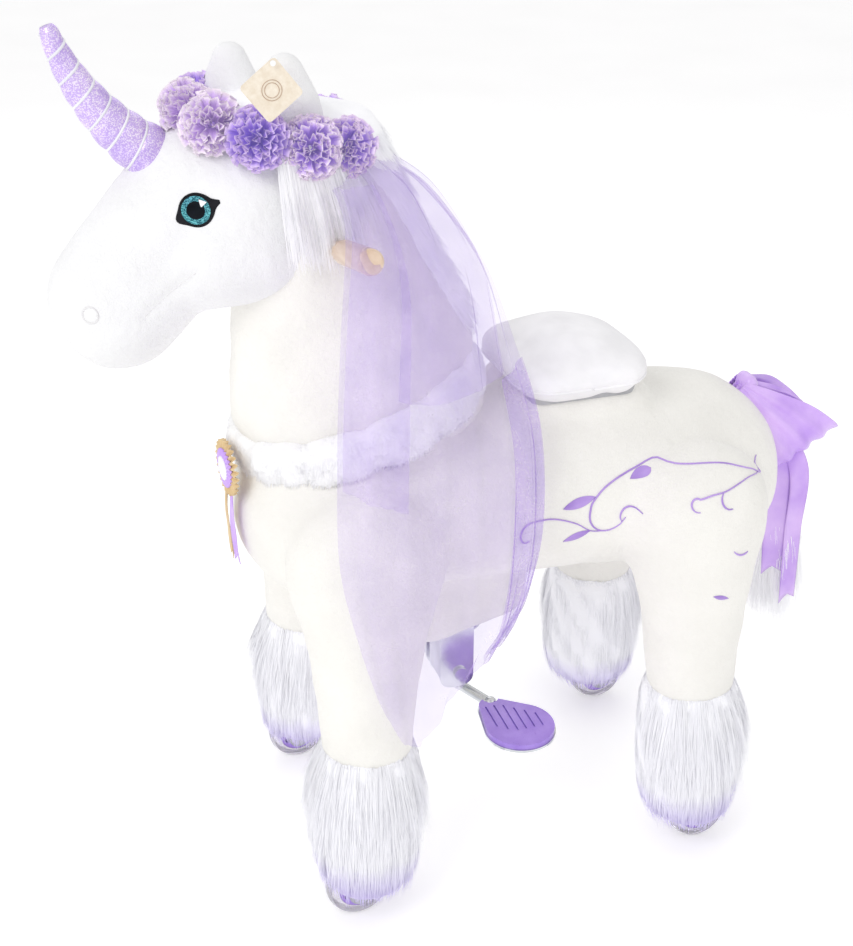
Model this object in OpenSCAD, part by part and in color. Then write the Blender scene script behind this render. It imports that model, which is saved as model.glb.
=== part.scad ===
// Ride-on plush unicorn. X is across (+X is the animal's left), -Y is the front, +Z is up.
// The origin is on the floor under the middle of the whole length. The parts are drawn with
// the middle of the four wheels at zero, and stand() moves them to their place.

/* [Stance] */
// Distance between the front and the rear wheel centres
wheelbase = 420; // [416:1:424]
// Distance between the left and the right wheel centres
track = 296; // [292:1:300]
// Height of the shoulder and hip pivots
pivot_z = 430; // [428:1:432]
// Distance between the shoulder and hip pivots
pivot_span = 370; // [368:1:372]
// Distance between the two legs of a pair, where they leave the body
leg_root_gap = 256; // [252:1:260]
// Distance from the middle of the length back to the middle of the wheels
wheels_back = 22; // [18:1:26]

/* [Wheels] */
// Outer radius of a tyre
tyre_r = 35; // [34:0.5:36]
// Width of a tyre
tyre_w = 24; // [22:0.5:25]
// Outer radius of a wheel hub
hub_r = 22; // [20:0.5:23]
// Radius of a wheel bolt
axle_r = 4; // [3.5:0.25:4.5]

/* [Mechanism] */
// Radius of the two cross shafts
shaft_r = 10; // [9:0.5:11]
// Radius of the steering column
column_r = 14; // [13:0.5:15]
// Length of the lever on each cross shaft
lever = 40; // [38:1:42]
// Length of the lever on top of the pedal hanger
hanger_lever = 60; // [59:0.5:61]
// Radius of the pins that the link rod turns on
pin_r = 4; // [3.5:0.25:4.5]
// Clearance of a running fit
fit = 0.05; // [0.02:0.01:0.08]

/* [Handle] */
// Radius of the wooden handle pegs
peg_r = 12; // [11:0.5:13]
// Distance from the middle to the end of a peg, along the peg
peg_reach = 194; // [190:1:196]
// Upward tilt of the pegs
peg_tilt = 12; // [10:0.5:13]

/* [Saddle] */
// Length of the saddle pad
saddle_len = 156; // [152:1:160]
// Width of the saddle pad
saddle_w = 172; // [168:1:176]
// Height of the underside of the saddle pad
saddle_z = 562; // [560:0.5:564]
// Thickness of the saddle pad
saddle_t = 44; // [42:1:46]

/* [Plush] */
// Radius of a leg cover above the fur
leg_r = 50; // [48:0.5:51]
// Radius of the round top of a leg cover
leg_top_r = 80; // [78:0.5:81]
// Largest radius of a fur feather
fur_r = 69; // [67:0.5:70]
// Radius of the turning front end of the body
turn_r = 175; // [174:0.5:176]

/* [Hidden] */

FRONT = -1;
REAR = 1;
LEFT = 1;
RIGHT = -1;
$fn = 64;
soft_fn = 24;

pivot_y = pivot_span / 2;
root_x = leg_root_gap / 2;
hoof_y = pivot_y + 13;
hoof_top_z = 104;
fur_top_z = 218;
body_top_z = saddle_z - 12;
steer_y = -pivot_y;
plate_x = 30;
plate_t = 4;
socket = 24;
hanger_y = -60;
bracket_x = 48;
cream = [0.93, 0.92, 0.88];
steel = [0.62, 0.63, 0.66];
chrome = [0.82, 0.83, 0.85];
violet = [0.58, 0.42, 0.86];
lavender = [0.75, 0.66, 0.91];

// The link rod's pins, at the rear lever (up) and the front lever (down), and its height between
rod_rear = [0, pivot_y, pivot_z + lever];
rod_front = [0, -pivot_y, pivot_z - lever];
function rod_z(y) = rod_front.z + (rod_rear.z - rod_front.z) * (y + pivot_y) / pivot_span;
hanger_pin_z = rod_z(hanger_y);
hanger_z = hanger_pin_z - hanger_lever;

// ---------- helpers ----------

// Places children with their +Z from point a towards point b
module along(a, b) {
    v = b - a;
    translate(a) rotate([0, acos(v.z / norm(v)), atan2(v.y, v.x)]) children();
}

module rod(a, b, r) {
    along(a, b) cylinder(r = r, h = norm(b - a));
}

// A cylinder along X between x0 and x1
module cross(x0, x1, y, z, r) {
    translate([x0, y, z]) rotate([0, 90, 0]) cylinder(r = r, h = x1 - x0);
}

// A shape drawn in the YZ plane, made solid between x0 and x1
module side_plate(x0, x1) {
    translate([x0, 0, 0]) rotate([90, 0, 90]) linear_extrude(x1 - x0) children();
}

module both_sides() {
    children();
    mirror([1, 0, 0]) children();
}

// A box from its low corner to its high corner
module block(low, high) {
    translate(low) cube(high - low);
}

module blob(centre, radii) {
    translate(centre) scale(radii) sphere(r = 1, $fn = soft_fn);
}

// A bar with round ends between two points of a plane
module bar2d(a, b, r) {
    v = b - a;
    translate(a) circle(r = r);
    translate(b) circle(r = r);
    translate(a) rotate(atan2(v.y, v.x)) translate([0, -r]) square([norm(v), 2 * r]);
}

// Two circles of unlike radii joined by straight sides that dip just inside both of them
module egg2d(a, ra, b, rb) {
    dip = 0.05;
    v = b - a;
    d = norm(v);
    turn = atan2(v.y, v.x);
    lift = acos((ra - rb) / d);
    translate(a) circle(r = ra);
    translate(b) circle(r = rb);
    polygon([
        for (s = [1, -1]) a + (ra - dip) * [cos(turn + s * lift), sin(turn + s * lift)],
        for (s = [-1, 1]) b + (rb - dip) * [cos(turn + s * lift), sin(turn + s * lift)]
    ]);
}

module rounded2d(w, h, r) {
    square([w, h - 2 * r], center = true);
    square([w - 2 * r, h], center = true);
    for (x = [-1, 1], y = [-1, 1]) translate([x * (w / 2 - r), y * (h / 2 - r)]) circle(r = r);
}

function pivot(side, end) = [side * root_x, end * pivot_y, pivot_z];
function wheel(side, end) = [side * track / 2, end * wheelbase / 2, tyre_r];
function hoof(side, end) = [side * track / 2, end * hoof_y, 0];

// ---------- frame ----------

// Two flat bars from the head tube to the hips, with tabs that carry the saddle board
module spine_plates() color(steel) both_sides()
    side_plate(plate_x, plate_x + plate_t) difference() {
        union() {
            polygon([[-160, 488], [pivot_y, 406], [pivot_y, 454], [-160, 532]]);
            translate([pivot_y, pivot_z]) circle(r = 24);
            for (y = [30, 120]) translate([y, 440]) square([26, saddle_z - 8 - 440]);
        }
        translate([pivot_y, pivot_z]) circle(r = shaft_r + 5);
    }

module head_tube() color(steel) difference() {
    union() {
        translate([0, steer_y, 480]) cylinder(r = column_r + 6, h = 65);
        block([-plate_x, -178, 490], [plate_x, -142, 530]);
    }
    translate([0, steer_y, 479]) cylinder(r = column_r + fit, h = 67);
}

// Two short tubes that a cross shaft turns in
module bushing_pair(y) color("goldenrod") both_sides() difference() {
    cross(plate_x - 14, plate_x + plate_t, y, pivot_z, shaft_r + 4.95);
    cross(plate_x - 15, plate_x + plate_t + 1, y, pivot_z, shaft_r + fit);
}

module hip_bushings() bushing_pair(pivot_y);

// A bridge over the spine whose cheeks carry the pedal axle
module pedal_bracket() color(steel) difference() {
    union() {
        both_sides() block([bracket_x, -85, hanger_z - 13], [bracket_x + 3, -35, 516]);
        block([-bracket_x - 3, -85, 516], [bracket_x + 3, -35, 520]);
    }
    cross(-60, 60, hanger_y, hanger_z, 6.05);
}

module pedal_axle() color(chrome) {
    cross(-56, 56, hanger_y, hanger_z, 6);
    both_sides() cross(51.2, 56, hanger_y, hanger_z, 9);
}

module saddle_board() color("burlywood")
    translate([0, saddle_len / 2 - 2, saddle_z - 8]) linear_extrude(8)
        rounded2d(saddle_w - 36, saddle_len - 30, 20);

// A rounded rim with a crown over it
module saddle_pad() color("whitesmoke") hull() {
    rim = [46, 46, 14];
    for (x = [-1, 1], y = [-1, 1])
        blob([x * (saddle_w / 2 - rim.x), saddle_len / 2 - 2 + y * (saddle_len / 2 - rim.y),
            saddle_z + rim.z], rim);
    blob([0, saddle_len / 2 - 2, saddle_z + saddle_t / 2], [66, 62, saddle_t / 2]);
}

// Straight-sided room for everything steel inside the body
module barrel_room() {
    block([-62, -30, 374], [62, 226, body_top_z - 10]);
    both_sides() for (y = [28, 118])
        block([plate_x - 1, y, body_top_z - 12], [plate_x + plate_t + 1, y + 30, saddle_z]);
}

// Room under the hip for a pair of legs that swings
module leg_room(end) both_sides() {
    cross(64, 240, end * pivot_y, pivot_z, leg_top_r + 2);
    block([64, end * pivot_y - leg_top_r - 4, 200],
        [240, end * pivot_y + leg_top_r + 4, pivot_z]);
}

module barrel_form() hull() {
    blob([0, 232, 428], [128, 103, 103]);
    blob([0, 60, 446], [137, 110, body_top_z - 446]);
    blob([0, -60, 450], [137, 100, body_top_z - 450]);
}

module barrel_plush() color(cream) difference() {
    union() {
        difference() {
            barrel_form();
            translate([0, steer_y, 300]) cylinder(r = 196, h = pivot_z + leg_top_r + 4 - 300);
            translate([0, steer_y, 500]) cylinder(r = turn_r + 3, h = 100);
            leg_room(REAR);
        }
        belly_pouch();
    }
    barrel_room();
    cross(-70, 70, pivot_y, pivot_z, shaft_r + 3);
    block([-57, -109, 291], [57, 5, 386]);
    block([-53, -110, 250], [53, -20, 300]);
}

// The pouch that hides the top of the pedal hanger
module belly_pouch() hull() {
    for (x = [-45, 45], y = [-100, 10]) translate([x, y, 298]) sphere(r = 15, $fn = soft_fn);
    block([-60, -115, 380], [60, 30, 384]);
}

module tail_hair() color("white") difference() {
    hull() {
        blob([0, 334, 488], [16, 10, 12]);
        blob([0, 362, 420], [26, 14, 40]);
        blob([0, 372, 300], [28, 16, 50]);
        blob([0, 372, 206], [12, 10, 18]);
    }
    barrel_form();
    bow_form();
}

// A knot over the tail root and a full loop to each side
module bow_form() {
    blob([0, 304, 510], [20, 13, 13]);
    both_sides() hull() {
        blob([12, 310, 506], [8, 9, 8]);
        blob([40, 342, 494], [12, 12, 8]);
        blob([52, 398, 456], [12, 12, 14]);
        blob([52, 342, 422], [10, 10, 12]);
    }
}

module tail_bow() color(violet) difference() {
    bow_form();
    barrel_form();
}

module bow_ribbons() color(violet) difference() {
    both_sides() hull() {
        blob([44, 356, 412], [4, 14, 8]);
        blob([42, 360, 300], [4, 16, 8]);
        blob([42, 366, 228], [4, 12, 8]);
    }
    bow_form();
}

// ---------- steering ----------

// Column with a yoke that holds the shoulder bushings
module steering_column() color(steel) difference() {
    union() {
        translate([0, steer_y, 462]) cylinder(r = column_r, h = 313);
        block([-plate_x - plate_t, steer_y - 20, 460], [plate_x + plate_t, steer_y + 20, 468]);
        both_sides() side_plate(plate_x, plate_x + plate_t) {
            translate([steer_y, pivot_z]) circle(r = 20);
            translate([steer_y - 20, pivot_z]) square([40, 34]);
        }
    }
    cross(-40, 40, steer_y, pivot_z, shaft_r + 5);
}

module shoulder_bushings() bushing_pair(-pivot_y);

peg_root = [0, steer_y - 6, 732];
peg_dir = [cos(peg_tilt), 0, sin(peg_tilt)];
peg_free = 104;

// Block on the column with a socket for each peg
module handle_hub() color("dimgray") difference() {
    block([-40, steer_y - 24, 714], [40, steer_y + 20, 772]);
    translate([0, steer_y, 700]) cylinder(r = column_r + fit, h = 90);
    both_sides() rod(peg_root, peg_root + 60 * peg_dir, peg_r - 2 + fit);
}

// Wooden peg with a thinner root and an eased end
module handle_peg() color("burlywood") {
    ease = 2;
    along(peg_root, peg_root + peg_dir) rotate_extrude() polygon([[0, 22], [peg_r - 2, 22],
        [peg_r - 2, peg_free], [peg_r, peg_free], [peg_r, peg_reach - ease],
        [peg_r - ease, peg_reach], [0, peg_reach]]);
}

module handle_peg_left() handle_peg();

module handle_peg_right() mirror([1, 0, 0]) handle_peg();

// Room for the column, the hub and the pegs inside the stuffing
module handle_room() {
    translate([0, steer_y, 540]) cylinder(r = column_r + 2, h = 238);
    block([-42, steer_y - 26, 710], [42, steer_y + 22, 776]);
    both_sides() rod(peg_root, peg_root + 150 * peg_dir, peg_r + 1);
}

module chest_form() intersection() {
    hull() {
        blob([0, -190, 446], [134, 104, 104]);
        blob([0, -110, 452], [137, 100, 106]);
        blob([0, -158, 548], [112, 128, 40]);
    }
    translate([0, steer_y, 300]) cylinder(r = turn_r, h = 248);
}

// Chest and shoulders: the part of the body that turns with the front legs
module chest_plush() color(cream) difference() {
    chest_form();
    translate([0, 0, 300]) linear_extrude(249)
        polygon([[-64, -252], [64, -252], [64, -150], [104, -25], [104, 10],
            [-104, 10], [-104, -25], [-64, -150]]);
    leg_room(FRONT);
    cross(-70, 70, steer_y, pivot_z, shaft_r + 3);
    block([-130, steer_y - 20, 300], [130, 20, pivot_z]);
}

module neck_form() intersection() {
    hull() {
        blob([0, -152, 552], [108, 134, 24]);
        blob([0, -158, 640], [90, 120, 40]);
        blob([0, -190, 768], [74, 84, 60]);
    }
    translate([0, steer_y, 548]) cylinder(r = turn_r - 1, h = 400);
}

module neck_plush() color(cream) difference() {
    neck_form();
    head_form();
    handle_room();
}

// Fluffy band round the foot of the neck
module neck_collar() color("white") difference() {
    collar_form();
    chest_form();
    neck_form();
}

module collar_form() translate([0, -158, 562]) rotate([17, 0, 0]) scale([112 / 128, 1, 1])
    rotate_extrude($fn = 40) translate([128, 0]) scale([0.6, 1]) circle(r = 27, $fn = 16);

module head_form() hull() {
    blob([0, -248, 790], [80, 86, 82]);
    blob([0, -302, 808], [64, 66, 58]);
    blob([0, -288, 738], [82, 74, 70]);
    blob([0, -394, 692], [58, 62, 64]);
}

module head_plush() color("white") difference() {
    head_form();
    handle_room();
}

module ear_forms() {
    hull() {
        blob([44, -222, 850], [20, 30, 12]);
        blob([47, -230, 911], [12, 20, 19]);
    }
    hull() {
        blob([-44, -262, 850], [20, 30, 12]);
        blob([-47, -262, 906], [12, 20, 19]);
    }
}

module ears() color("white") difference() {
    ear_forms();
    head_form();
}

module mane_form() {
    hull() {
        blob([0, -250, 866], [50, 44, 22]);
        blob([0, -160, 846], [50, 30, 24]);
    }
    hull() {
        blob([0, -152, 826], [48, 24, 24]);
        blob([0, -118, 756], [50, 28, 28]);
    }
    hull() {
        blob([0, -118, 756], [50, 28, 28]);
        blob([0, -62, 662], [46, 26, 24]);
    }
}

// Forelock and the mane down the back of the neck
module mane() color("white") difference() {
    mane_form();
    head_form();
    neck_form();
    ear_forms();
}

// The horn's middle line bends upward, and the horn grows thin towards the tip
horn_base = [0, -351, 836];
horn_len = 143;
horn_steps = 7;
function horn_angle(i) = 55 - 40 * i / horn_steps;
function horn_at(i) = i == 0 ? horn_base
    : horn_at(i - 1) + horn_len / horn_steps * [0, -sin(horn_angle(i)), cos(horn_angle(i))];
function horn_radius(i) = 27 - 20 * i / horn_steps;

module horn_form()
    for (first = [0 : horn_steps - 1]) hull()
        for (i = [first, first + 1])
            translate(horn_at(i)) rotate([horn_angle(i), 0, 0])
                cylinder(r = horn_radius(i), h = 0.6, $fn = soft_fn);

module horn() color(lavender) difference() {
    horn_form();
    head_form();
}

// Cord wound round the horn, as one ring for each turn
module horn_cord() color("silver") difference() {
    for (i = [1 : horn_steps - 1]) translate(horn_at(i)) rotate([horn_angle(i) - 14, 0, 0])
        rotate_extrude($fn = 32) translate([horn_radius(i) + 0.6, 0])
            circle(r = 1.8, $fn = 12);
    horn_form();
    head_form();
}

module eyes() color("black") difference() {
    both_sides() translate([72, -326, 797]) rotate([0, 78, -22])
        translate([0, 0, -12]) cylinder(r = 17, h = 16);
    head_form();
}

crown = [0, -234, 852];
crown_tilt = -13;

module crown_form() translate(crown) rotate([crown_tilt, 0, 0]) difference() {
    cylinder(r = 76, h = 9, center = true);
    cylinder(r = 70, h = 10, center = true);
}

module crown_band() color(lavender) difference() {
    crown_form();
    mane_form();
    ear_forms();
    head_form();
}

// A ring of round ruffled flowers round the poll
module carnations() color(violet) difference() {
    for (a = [-18 : 36 : 306])
        translate(crown) rotate([crown_tilt, 0, 0]) rotate([0, 0, a])
            translate([86, 0, 0]) scale([0.75, 1, 1]) sphere(r = 26, $fn = 16);
    crown_form();
    mane_form();
    ear_forms();
    head_form();
    neck_form();
}

// Tulle from the crown over the mane and the left peg, then down the side as a curtain
module veil() color([0.78, 0.68, 0.95, 0.6]) difference() {
    crest = [34, -140, 806];
    back = [34, -12, 650];
    peg_top = [202, -196, 792];
    union() {
        hull() {
            blob(crest, [40, 12, 10]);
            blob([34, -66, 742], [42, 12, 12]);
            blob(back, [42, 10, 10]);
        }
        hull() {
            blob([70, -150, 806], [8, 10, 8]);
            blob([74, -26, 662], [8, 10, 8]);
            blob(peg_top, [5, 18, 8]);
            blob([202, -40, 620], [5, 10, 8]);
        }
        hull() {
            blob(peg_top, [5, 18, 8]);
            blob([203, -214, 560], [5, 10, 10]);
            blob([204, -156, 258], [5, 10, 8]);
            blob([203, -66, 340], [5, 10, 8]);
            blob([202, -22, 500], [5, 10, 10]);
            blob([202, -40, 620], [5, 10, 8]);
        }
    }
    mane_form();
    neck_form();
    head_form();
    rod(peg_root, peg_root + (peg_reach + 1) * peg_dir, peg_r + 1);
    translate(crown) rotate([crown_tilt, 0, 0]) cylinder(r = 113, h = 54, center = true);
}

tag_hole = [97, -251, 929];
tag_side = 41;

// Plastic thread that the tag swings on
module tag_fastener() color("white") difference() {
    union() {
        rod([46, -240, 914], [88, tag_hole.y, tag_hole.z], 1);
        cross(88, 100, tag_hole.y, tag_hole.z, 1);
        cross(100, 101, tag_hole.y, tag_hole.z, 2.5);
    }
    ear_forms();
}

module hang_tag() color([0.93, 0.88, 0.78])
    translate([tag_hole.x - 0.8, tag_hole.y, tag_hole.z]) rotate([90, 0, 90])
        linear_extrude(1.6) difference() {
            translate([-1.5, -23.5]) rotate(38) rounded2d(tag_side, tag_side, 4);
            circle(r = 1 + fit);
        }

// Pleated rosette on the collar with two ribbon tails
module rosette() color("goldenrod") difference() {
    at = [22, -301, 510];
    union() {
        translate(at) rotate([90, 0, 8]) {
            cylinder(r = 28, h = 8, center = true);
            cylinder(r = 19, h = 12, center = true);
        }
        for (a = [-7, 7]) translate(at) rotate([4, a, 8])
            block([-7, -1, -112], [7, 1, -20]);
    }
    collar_form();
    chest_form();
    neck_form();
}

// ---------- legs ----------

// A cross shaft whose lever points up (dir = 1) or down (dir = -1)
module cross_shaft(end, dir) color(steel) {
    y = end * pivot_y;
    cross(-root_x + socket / 2, root_x - socket / 2, y, pivot_z, shaft_r);
    side_plate(9, 15) bar2d([y, pivot_z], [y, pivot_z + dir * lever], 9);
    cross(-8, 10, y, pivot_z + dir * lever, pin_r);
}

// Socket, tube and wheel fork of one leg
module leg_tube(end) color(steel) difference() {
    p = pivot(LEFT, end);
    w = wheel(LEFT, end);
    crown_z = w.z + tyre_r + 14;
    union() {
        translate(p) cube([socket, socket, 30], center = true);
        rod(p - [0, 0, 8], [w.x, w.y, crown_z + 3], 11);
        block([w.x - 20, w.y - 13, crown_z], [w.x + 20, w.y + 13, crown_z + 5]);
        for (x = [-20, 17]) side_plate(w.x + x, w.x + x + 3) {
            translate([w.y, w.z]) circle(r = 13);
            translate([w.y - 13, w.z]) square([26, crown_z - w.z]);
        }
    }
    cross(w.x - 30, w.x + 30, w.y, w.z, axle_r + fit);
}

module axle_bolt(end) color(chrome) {
    w = wheel(LEFT, end);
    cross(w.x - 24, w.x + 24, w.y, w.z, axle_r);
    for (x = [-24, 20.2]) cross(w.x + x, w.x + x + 3.8, w.y, w.z, 7);
}

// Plush over one leg, from the round top to the hoof
module leg_plush(end) color(cream) difference() {
    p = pivot(LEFT, end);
    h = hoof(LEFT, end);
    reach = norm(h - p);
    intersection() {
        along(p, h) {
            sphere(r = leg_top_r);
            rotate_extrude() polygon([[0, 0], [leg_top_r - 4, 26], [leg_top_r - 12, 50],
                [leg_r + 10, 92], [leg_r + 4, 140], [leg_r, 200], [leg_r, reach - hoof_top_z],
                [0, reach - hoof_top_z]]);
        }
        block([66, -400, 0], [192, 400, pivot_z + leg_top_r + 1]);
    }
    cross(0, root_x, p.y, p.z, shaft_r + 2);
    rod(p, wheel(LEFT, end), 18);
    translate(p) cube([socket + 4, socket + 4, 50], center = true);
}

// Long fur that hangs over a hoof
module fur_skirt(end) color("white")
    along(hoof(LEFT, end), pivot(LEFT, end)) rotate_extrude() polygon([
        [leg_r + 0.2, hoof_top_z + 4], [leg_r + 0.2, fur_top_z], [leg_r + 8, fur_top_z - 4],
        [fur_r - 5, 190], [fur_r - 1, 150], [fur_r, 110], [fur_r - 4, 72], [fur_r - 11, 46],
        [fur_r - 15, 46], [61, 76], [61, hoof_top_z]]);

// Velvet hoof with a well for the wheel
module hoof_shell(end) color(lavender) difference() {
    h = hoof(LEFT, end);
    w = wheel(LEFT, end);
    top = hoof_top_z - 2.9;
    translate(h) rotate_extrude() polygon([[0, 34], [44, 34], [49, 42], [53, 70],
        [54, top], [0, top]]);
    block([w.x - 26, w.y - tyre_r - 4, 0], [w.x + 26, w.y + tyre_r + 4, w.z + tyre_r + 22]);
    translate([w.x - 3, w.y - 4 * end, 80]) cylinder(r = 18, h = 40);
}

module front_cross_shaft() cross_shaft(FRONT, -1);

module rear_cross_shaft() cross_shaft(REAR, 1);

module front_leg_tubes() both_sides() leg_tube(FRONT);

module rear_leg_tubes() both_sides() leg_tube(REAR);

module front_axle_bolts() both_sides() axle_bolt(FRONT);

module rear_axle_bolts() both_sides() axle_bolt(REAR);

module front_leg_left() leg_plush(FRONT);

module front_leg_right() mirror([1, 0, 0]) leg_plush(FRONT);

module rear_leg_left() leg_plush(REAR);

module rear_leg_right() mirror([1, 0, 0]) leg_plush(REAR);

module front_fur() both_sides() fur_skirt(FRONT);

module rear_fur() both_sides() fur_skirt(REAR);

module front_hoof_left() hoof_shell(FRONT);

module front_hoof_right() mirror([1, 0, 0]) hoof_shell(FRONT);

module rear_hoof_left() hoof_shell(REAR);

module rear_hoof_right() mirror([1, 0, 0]) hoof_shell(REAR);

// ---------- wheels ----------

module hub(side, end) color(violet) translate(wheel(side, end)) rotate([0, 90, 0]) difference() {
    union() {
        cylinder(r = hub_r, h = tyre_w - 2, center = true);
        cylinder(r = 9, h = tyre_w + 6, center = true);
    }
    cylinder(r = axle_r + fit, h = tyre_w + 10, center = true);
    for (a = [0 : 60 : 300]) rotate([0, 0, a]) translate([hub_r - 7.5, 0, 0])
        cylinder(r = 4, h = tyre_w + 10, center = true);
}

module tyre(side, end) color([0.9, 0.87, 0.9]) translate(wheel(side, end)) rotate([0, 90, 0])
    rotate_extrude() intersection() {
        translate([hub_r + 0.05, -tyre_w / 2]) square([tyre_r - hub_r, tyre_w]);
        translate([tyre_r - 20, 0]) circle(r = 20);
    }

module hub_front_left() hub(LEFT, FRONT);

module hub_front_right() hub(RIGHT, FRONT);

module hub_rear_left() hub(LEFT, REAR);

module hub_rear_right() hub(RIGHT, REAR);

module tyre_front_left() tyre(LEFT, FRONT);

module tyre_front_right() tyre(RIGHT, FRONT);

module tyre_rear_left() tyre(LEFT, REAR);

module tyre_rear_right() tyre(RIGHT, REAR);

// ---------- link rod and pedals ----------

// Flat bar with three eyes; the middle and front ones are wide, since those pins drift
module link_rod() color(steel) side_plate(-5, 5) difference() {
    union() {
        bar2d([rod_front.y, rod_front.z], [rod_rear.y, rod_rear.z], 7);
        translate([rod_front.y, rod_front.z]) circle(r = 12);
        translate([hanger_y, hanger_pin_z]) circle(r = 11);
        translate([rod_rear.y, rod_rear.z]) circle(r = 10);
    }
    translate([rod_front.y, rod_front.z]) circle(r = pin_r + 3);
    translate([hanger_y, hanger_pin_z]) circle(r = pin_r + 1.5);
    translate([rod_rear.y, rod_rear.z]) circle(r = pin_r + fit);
}

channel_low = 200;
channel_front = hanger_y - 18;
channel_back = hanger_y + 22;
arm_bolt = [0, hanger_y + 6, 218];

// Two channels side by side, hung on the pedal axle, with a lever up to the link rod
module pedal_channels() color(chrome) difference() {
    union() {
        both_sides() {
            block([6, channel_front, channel_low + 14], [46, channel_front + 3, hanger_z + 9]);
            for (x = [6, 43]) block([x, channel_front, channel_low + 14],
                [x + 3, channel_back, hanger_z + 9]);
            for (x = [6, 43]) side_plate(x, x + 3)
                bar2d([hanger_y - 4, channel_low + 14], [hanger_y + 8, channel_low + 14], 14);
            side_plate(6, 9) bar2d([hanger_y, hanger_z], [hanger_y, hanger_pin_z], 9);
        }
        cross(-7, 7, hanger_y, hanger_pin_z, pin_r);
    }
    cross(-60, 60, hanger_y, hanger_z, 6 + fit);
    cross(-60, 60, arm_bolt.y, arm_bolt.z, 4 + fit);
}

pedal_z = 190;
pedal_small = [80, -27];
pedal_small_r = 15;
pedal_large = [123, -9];
pedal_large_r = 39;
arm_bend = [30, -50, 191];
arm_end = [66, -24, pedal_z - 7];

// A bolted arm that runs out of each channel and ends in the pedal's steel plate
module pedal_arms() color(chrome) both_sides() {
    cross(9.2, 42.8, arm_bolt.y, arm_bolt.z, 9);
    cross(5, 50, arm_bolt.y, arm_bolt.z, 4);
    cross(46.2, 50, arm_bolt.y, arm_bolt.z, 8);
    rod([26, arm_bolt.y, arm_bolt.z - 4], arm_bend, 6);
    translate(arm_bend) sphere(r = 6.6);
    rod(arm_bend, arm_end, 6);
    translate(arm_end) sphere(r = 8);
    translate([0, 0, pedal_z - 9]) linear_extrude(3)
        egg2d(pedal_small, pedal_small_r + 1.5, pedal_large, pedal_large_r + 1.5);
}

groove_count = 6;
groove_pitch = 10;

// Violet foot plate with parallel grooves, on a steel plate
module pedal() color(violet) difference() {
    translate([0, 0, pedal_z - 6]) linear_extrude(6)
        egg2d(pedal_small, pedal_small_r, pedal_large, pedal_large_r);
    for (i = [0 : groove_count - 1]) {
        y = pedal_small.y - 8 + i * groove_pitch;
        half = 25 - 4 * abs(i - 1.6);
        translate([100 + 4 * i, y, pedal_z - 2]) linear_extrude(3)
            bar2d([-half, 0], [half, 0], 1);
    }
    translate(arm_end) cylinder(r = 9.2, h = 24, center = true);
}

module pedal_left() pedal();

module pedal_right() mirror([1, 0, 0]) pedal();

// Moves a part from the frame it is drawn in to its place
module stand() {
    translate([0, wheels_back, 0]) children();
}

stand() spine_plates();
stand() head_tube();
stand() hip_bushings();
stand() pedal_bracket();
stand() pedal_axle();
stand() saddle_board();
stand() saddle_pad();
stand() barrel_plush();
stand() tail_hair();
stand() tail_bow();
stand() bow_ribbons();
stand() steering_column();
stand() shoulder_bushings();
stand() handle_hub();
stand() handle_peg_left();
stand() handle_peg_right();
stand() chest_plush();
stand() neck_plush();
stand() neck_collar();
stand() head_plush();
stand() ears();
stand() mane();
stand() horn();
stand() horn_cord();
stand() eyes();
stand() crown_band();
stand() carnations();
stand() veil();
stand() tag_fastener();
stand() hang_tag();
stand() rosette();
stand() front_cross_shaft();
stand() front_leg_tubes();
stand() front_axle_bolts();
stand() front_leg_left();
stand() front_leg_right();
stand() front_fur();
stand() front_hoof_left();
stand() front_hoof_right();
stand() rear_cross_shaft();
stand() rear_leg_tubes();
stand() rear_axle_bolts();
stand() rear_leg_left();
stand() rear_leg_right();
stand() rear_fur();
stand() rear_hoof_left();
stand() rear_hoof_right();
stand() hub_front_left();
stand() hub_front_right();
stand() hub_rear_left();
stand() hub_rear_right();
stand() tyre_front_left();
stand() tyre_front_right();
stand() tyre_rear_left();
stand() tyre_rear_right();
stand() link_rod();
stand() pedal_channels();
stand() pedal_arms();
stand() pedal_left();
stand() pedal_right();
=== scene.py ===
import math

import bmesh
import bpy
import numpy as np
from mathutils import Matrix, Vector, noise
from mathutils.bvhtree import BVHTree

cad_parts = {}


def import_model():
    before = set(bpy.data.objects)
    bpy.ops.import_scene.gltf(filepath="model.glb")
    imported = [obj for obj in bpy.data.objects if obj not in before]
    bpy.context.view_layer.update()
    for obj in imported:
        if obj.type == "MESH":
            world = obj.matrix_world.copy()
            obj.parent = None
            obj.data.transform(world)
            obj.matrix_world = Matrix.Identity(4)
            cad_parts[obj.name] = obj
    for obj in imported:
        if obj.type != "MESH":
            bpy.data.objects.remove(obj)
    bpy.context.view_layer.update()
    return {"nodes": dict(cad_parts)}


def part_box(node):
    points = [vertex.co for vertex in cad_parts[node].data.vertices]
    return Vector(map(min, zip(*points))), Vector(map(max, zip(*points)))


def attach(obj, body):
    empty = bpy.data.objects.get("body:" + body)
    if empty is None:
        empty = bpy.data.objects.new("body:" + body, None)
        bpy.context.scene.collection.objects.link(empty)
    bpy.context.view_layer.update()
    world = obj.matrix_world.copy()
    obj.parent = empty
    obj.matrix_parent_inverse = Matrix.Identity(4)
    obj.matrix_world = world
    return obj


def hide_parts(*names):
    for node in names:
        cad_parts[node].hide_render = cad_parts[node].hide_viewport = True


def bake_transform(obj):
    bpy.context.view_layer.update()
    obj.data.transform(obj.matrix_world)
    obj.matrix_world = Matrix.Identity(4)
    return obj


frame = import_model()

# Blender's noise is seeded from the clock until it is given a seed
noise.seed_set(7)
MM = 0.001
SIDES = {"left": 1, "right": -1}
ENDS = {"front": -1, "rear": 1}


def middle_of(node):
    low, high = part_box(node)
    return (low + high) / 2


def word_of(side):
    return "left" if side > 0 else "right"


WHEELS_MIDDLE = (middle_of("hub_front_left").y + middle_of("hub_rear_left").y) / 2
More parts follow.
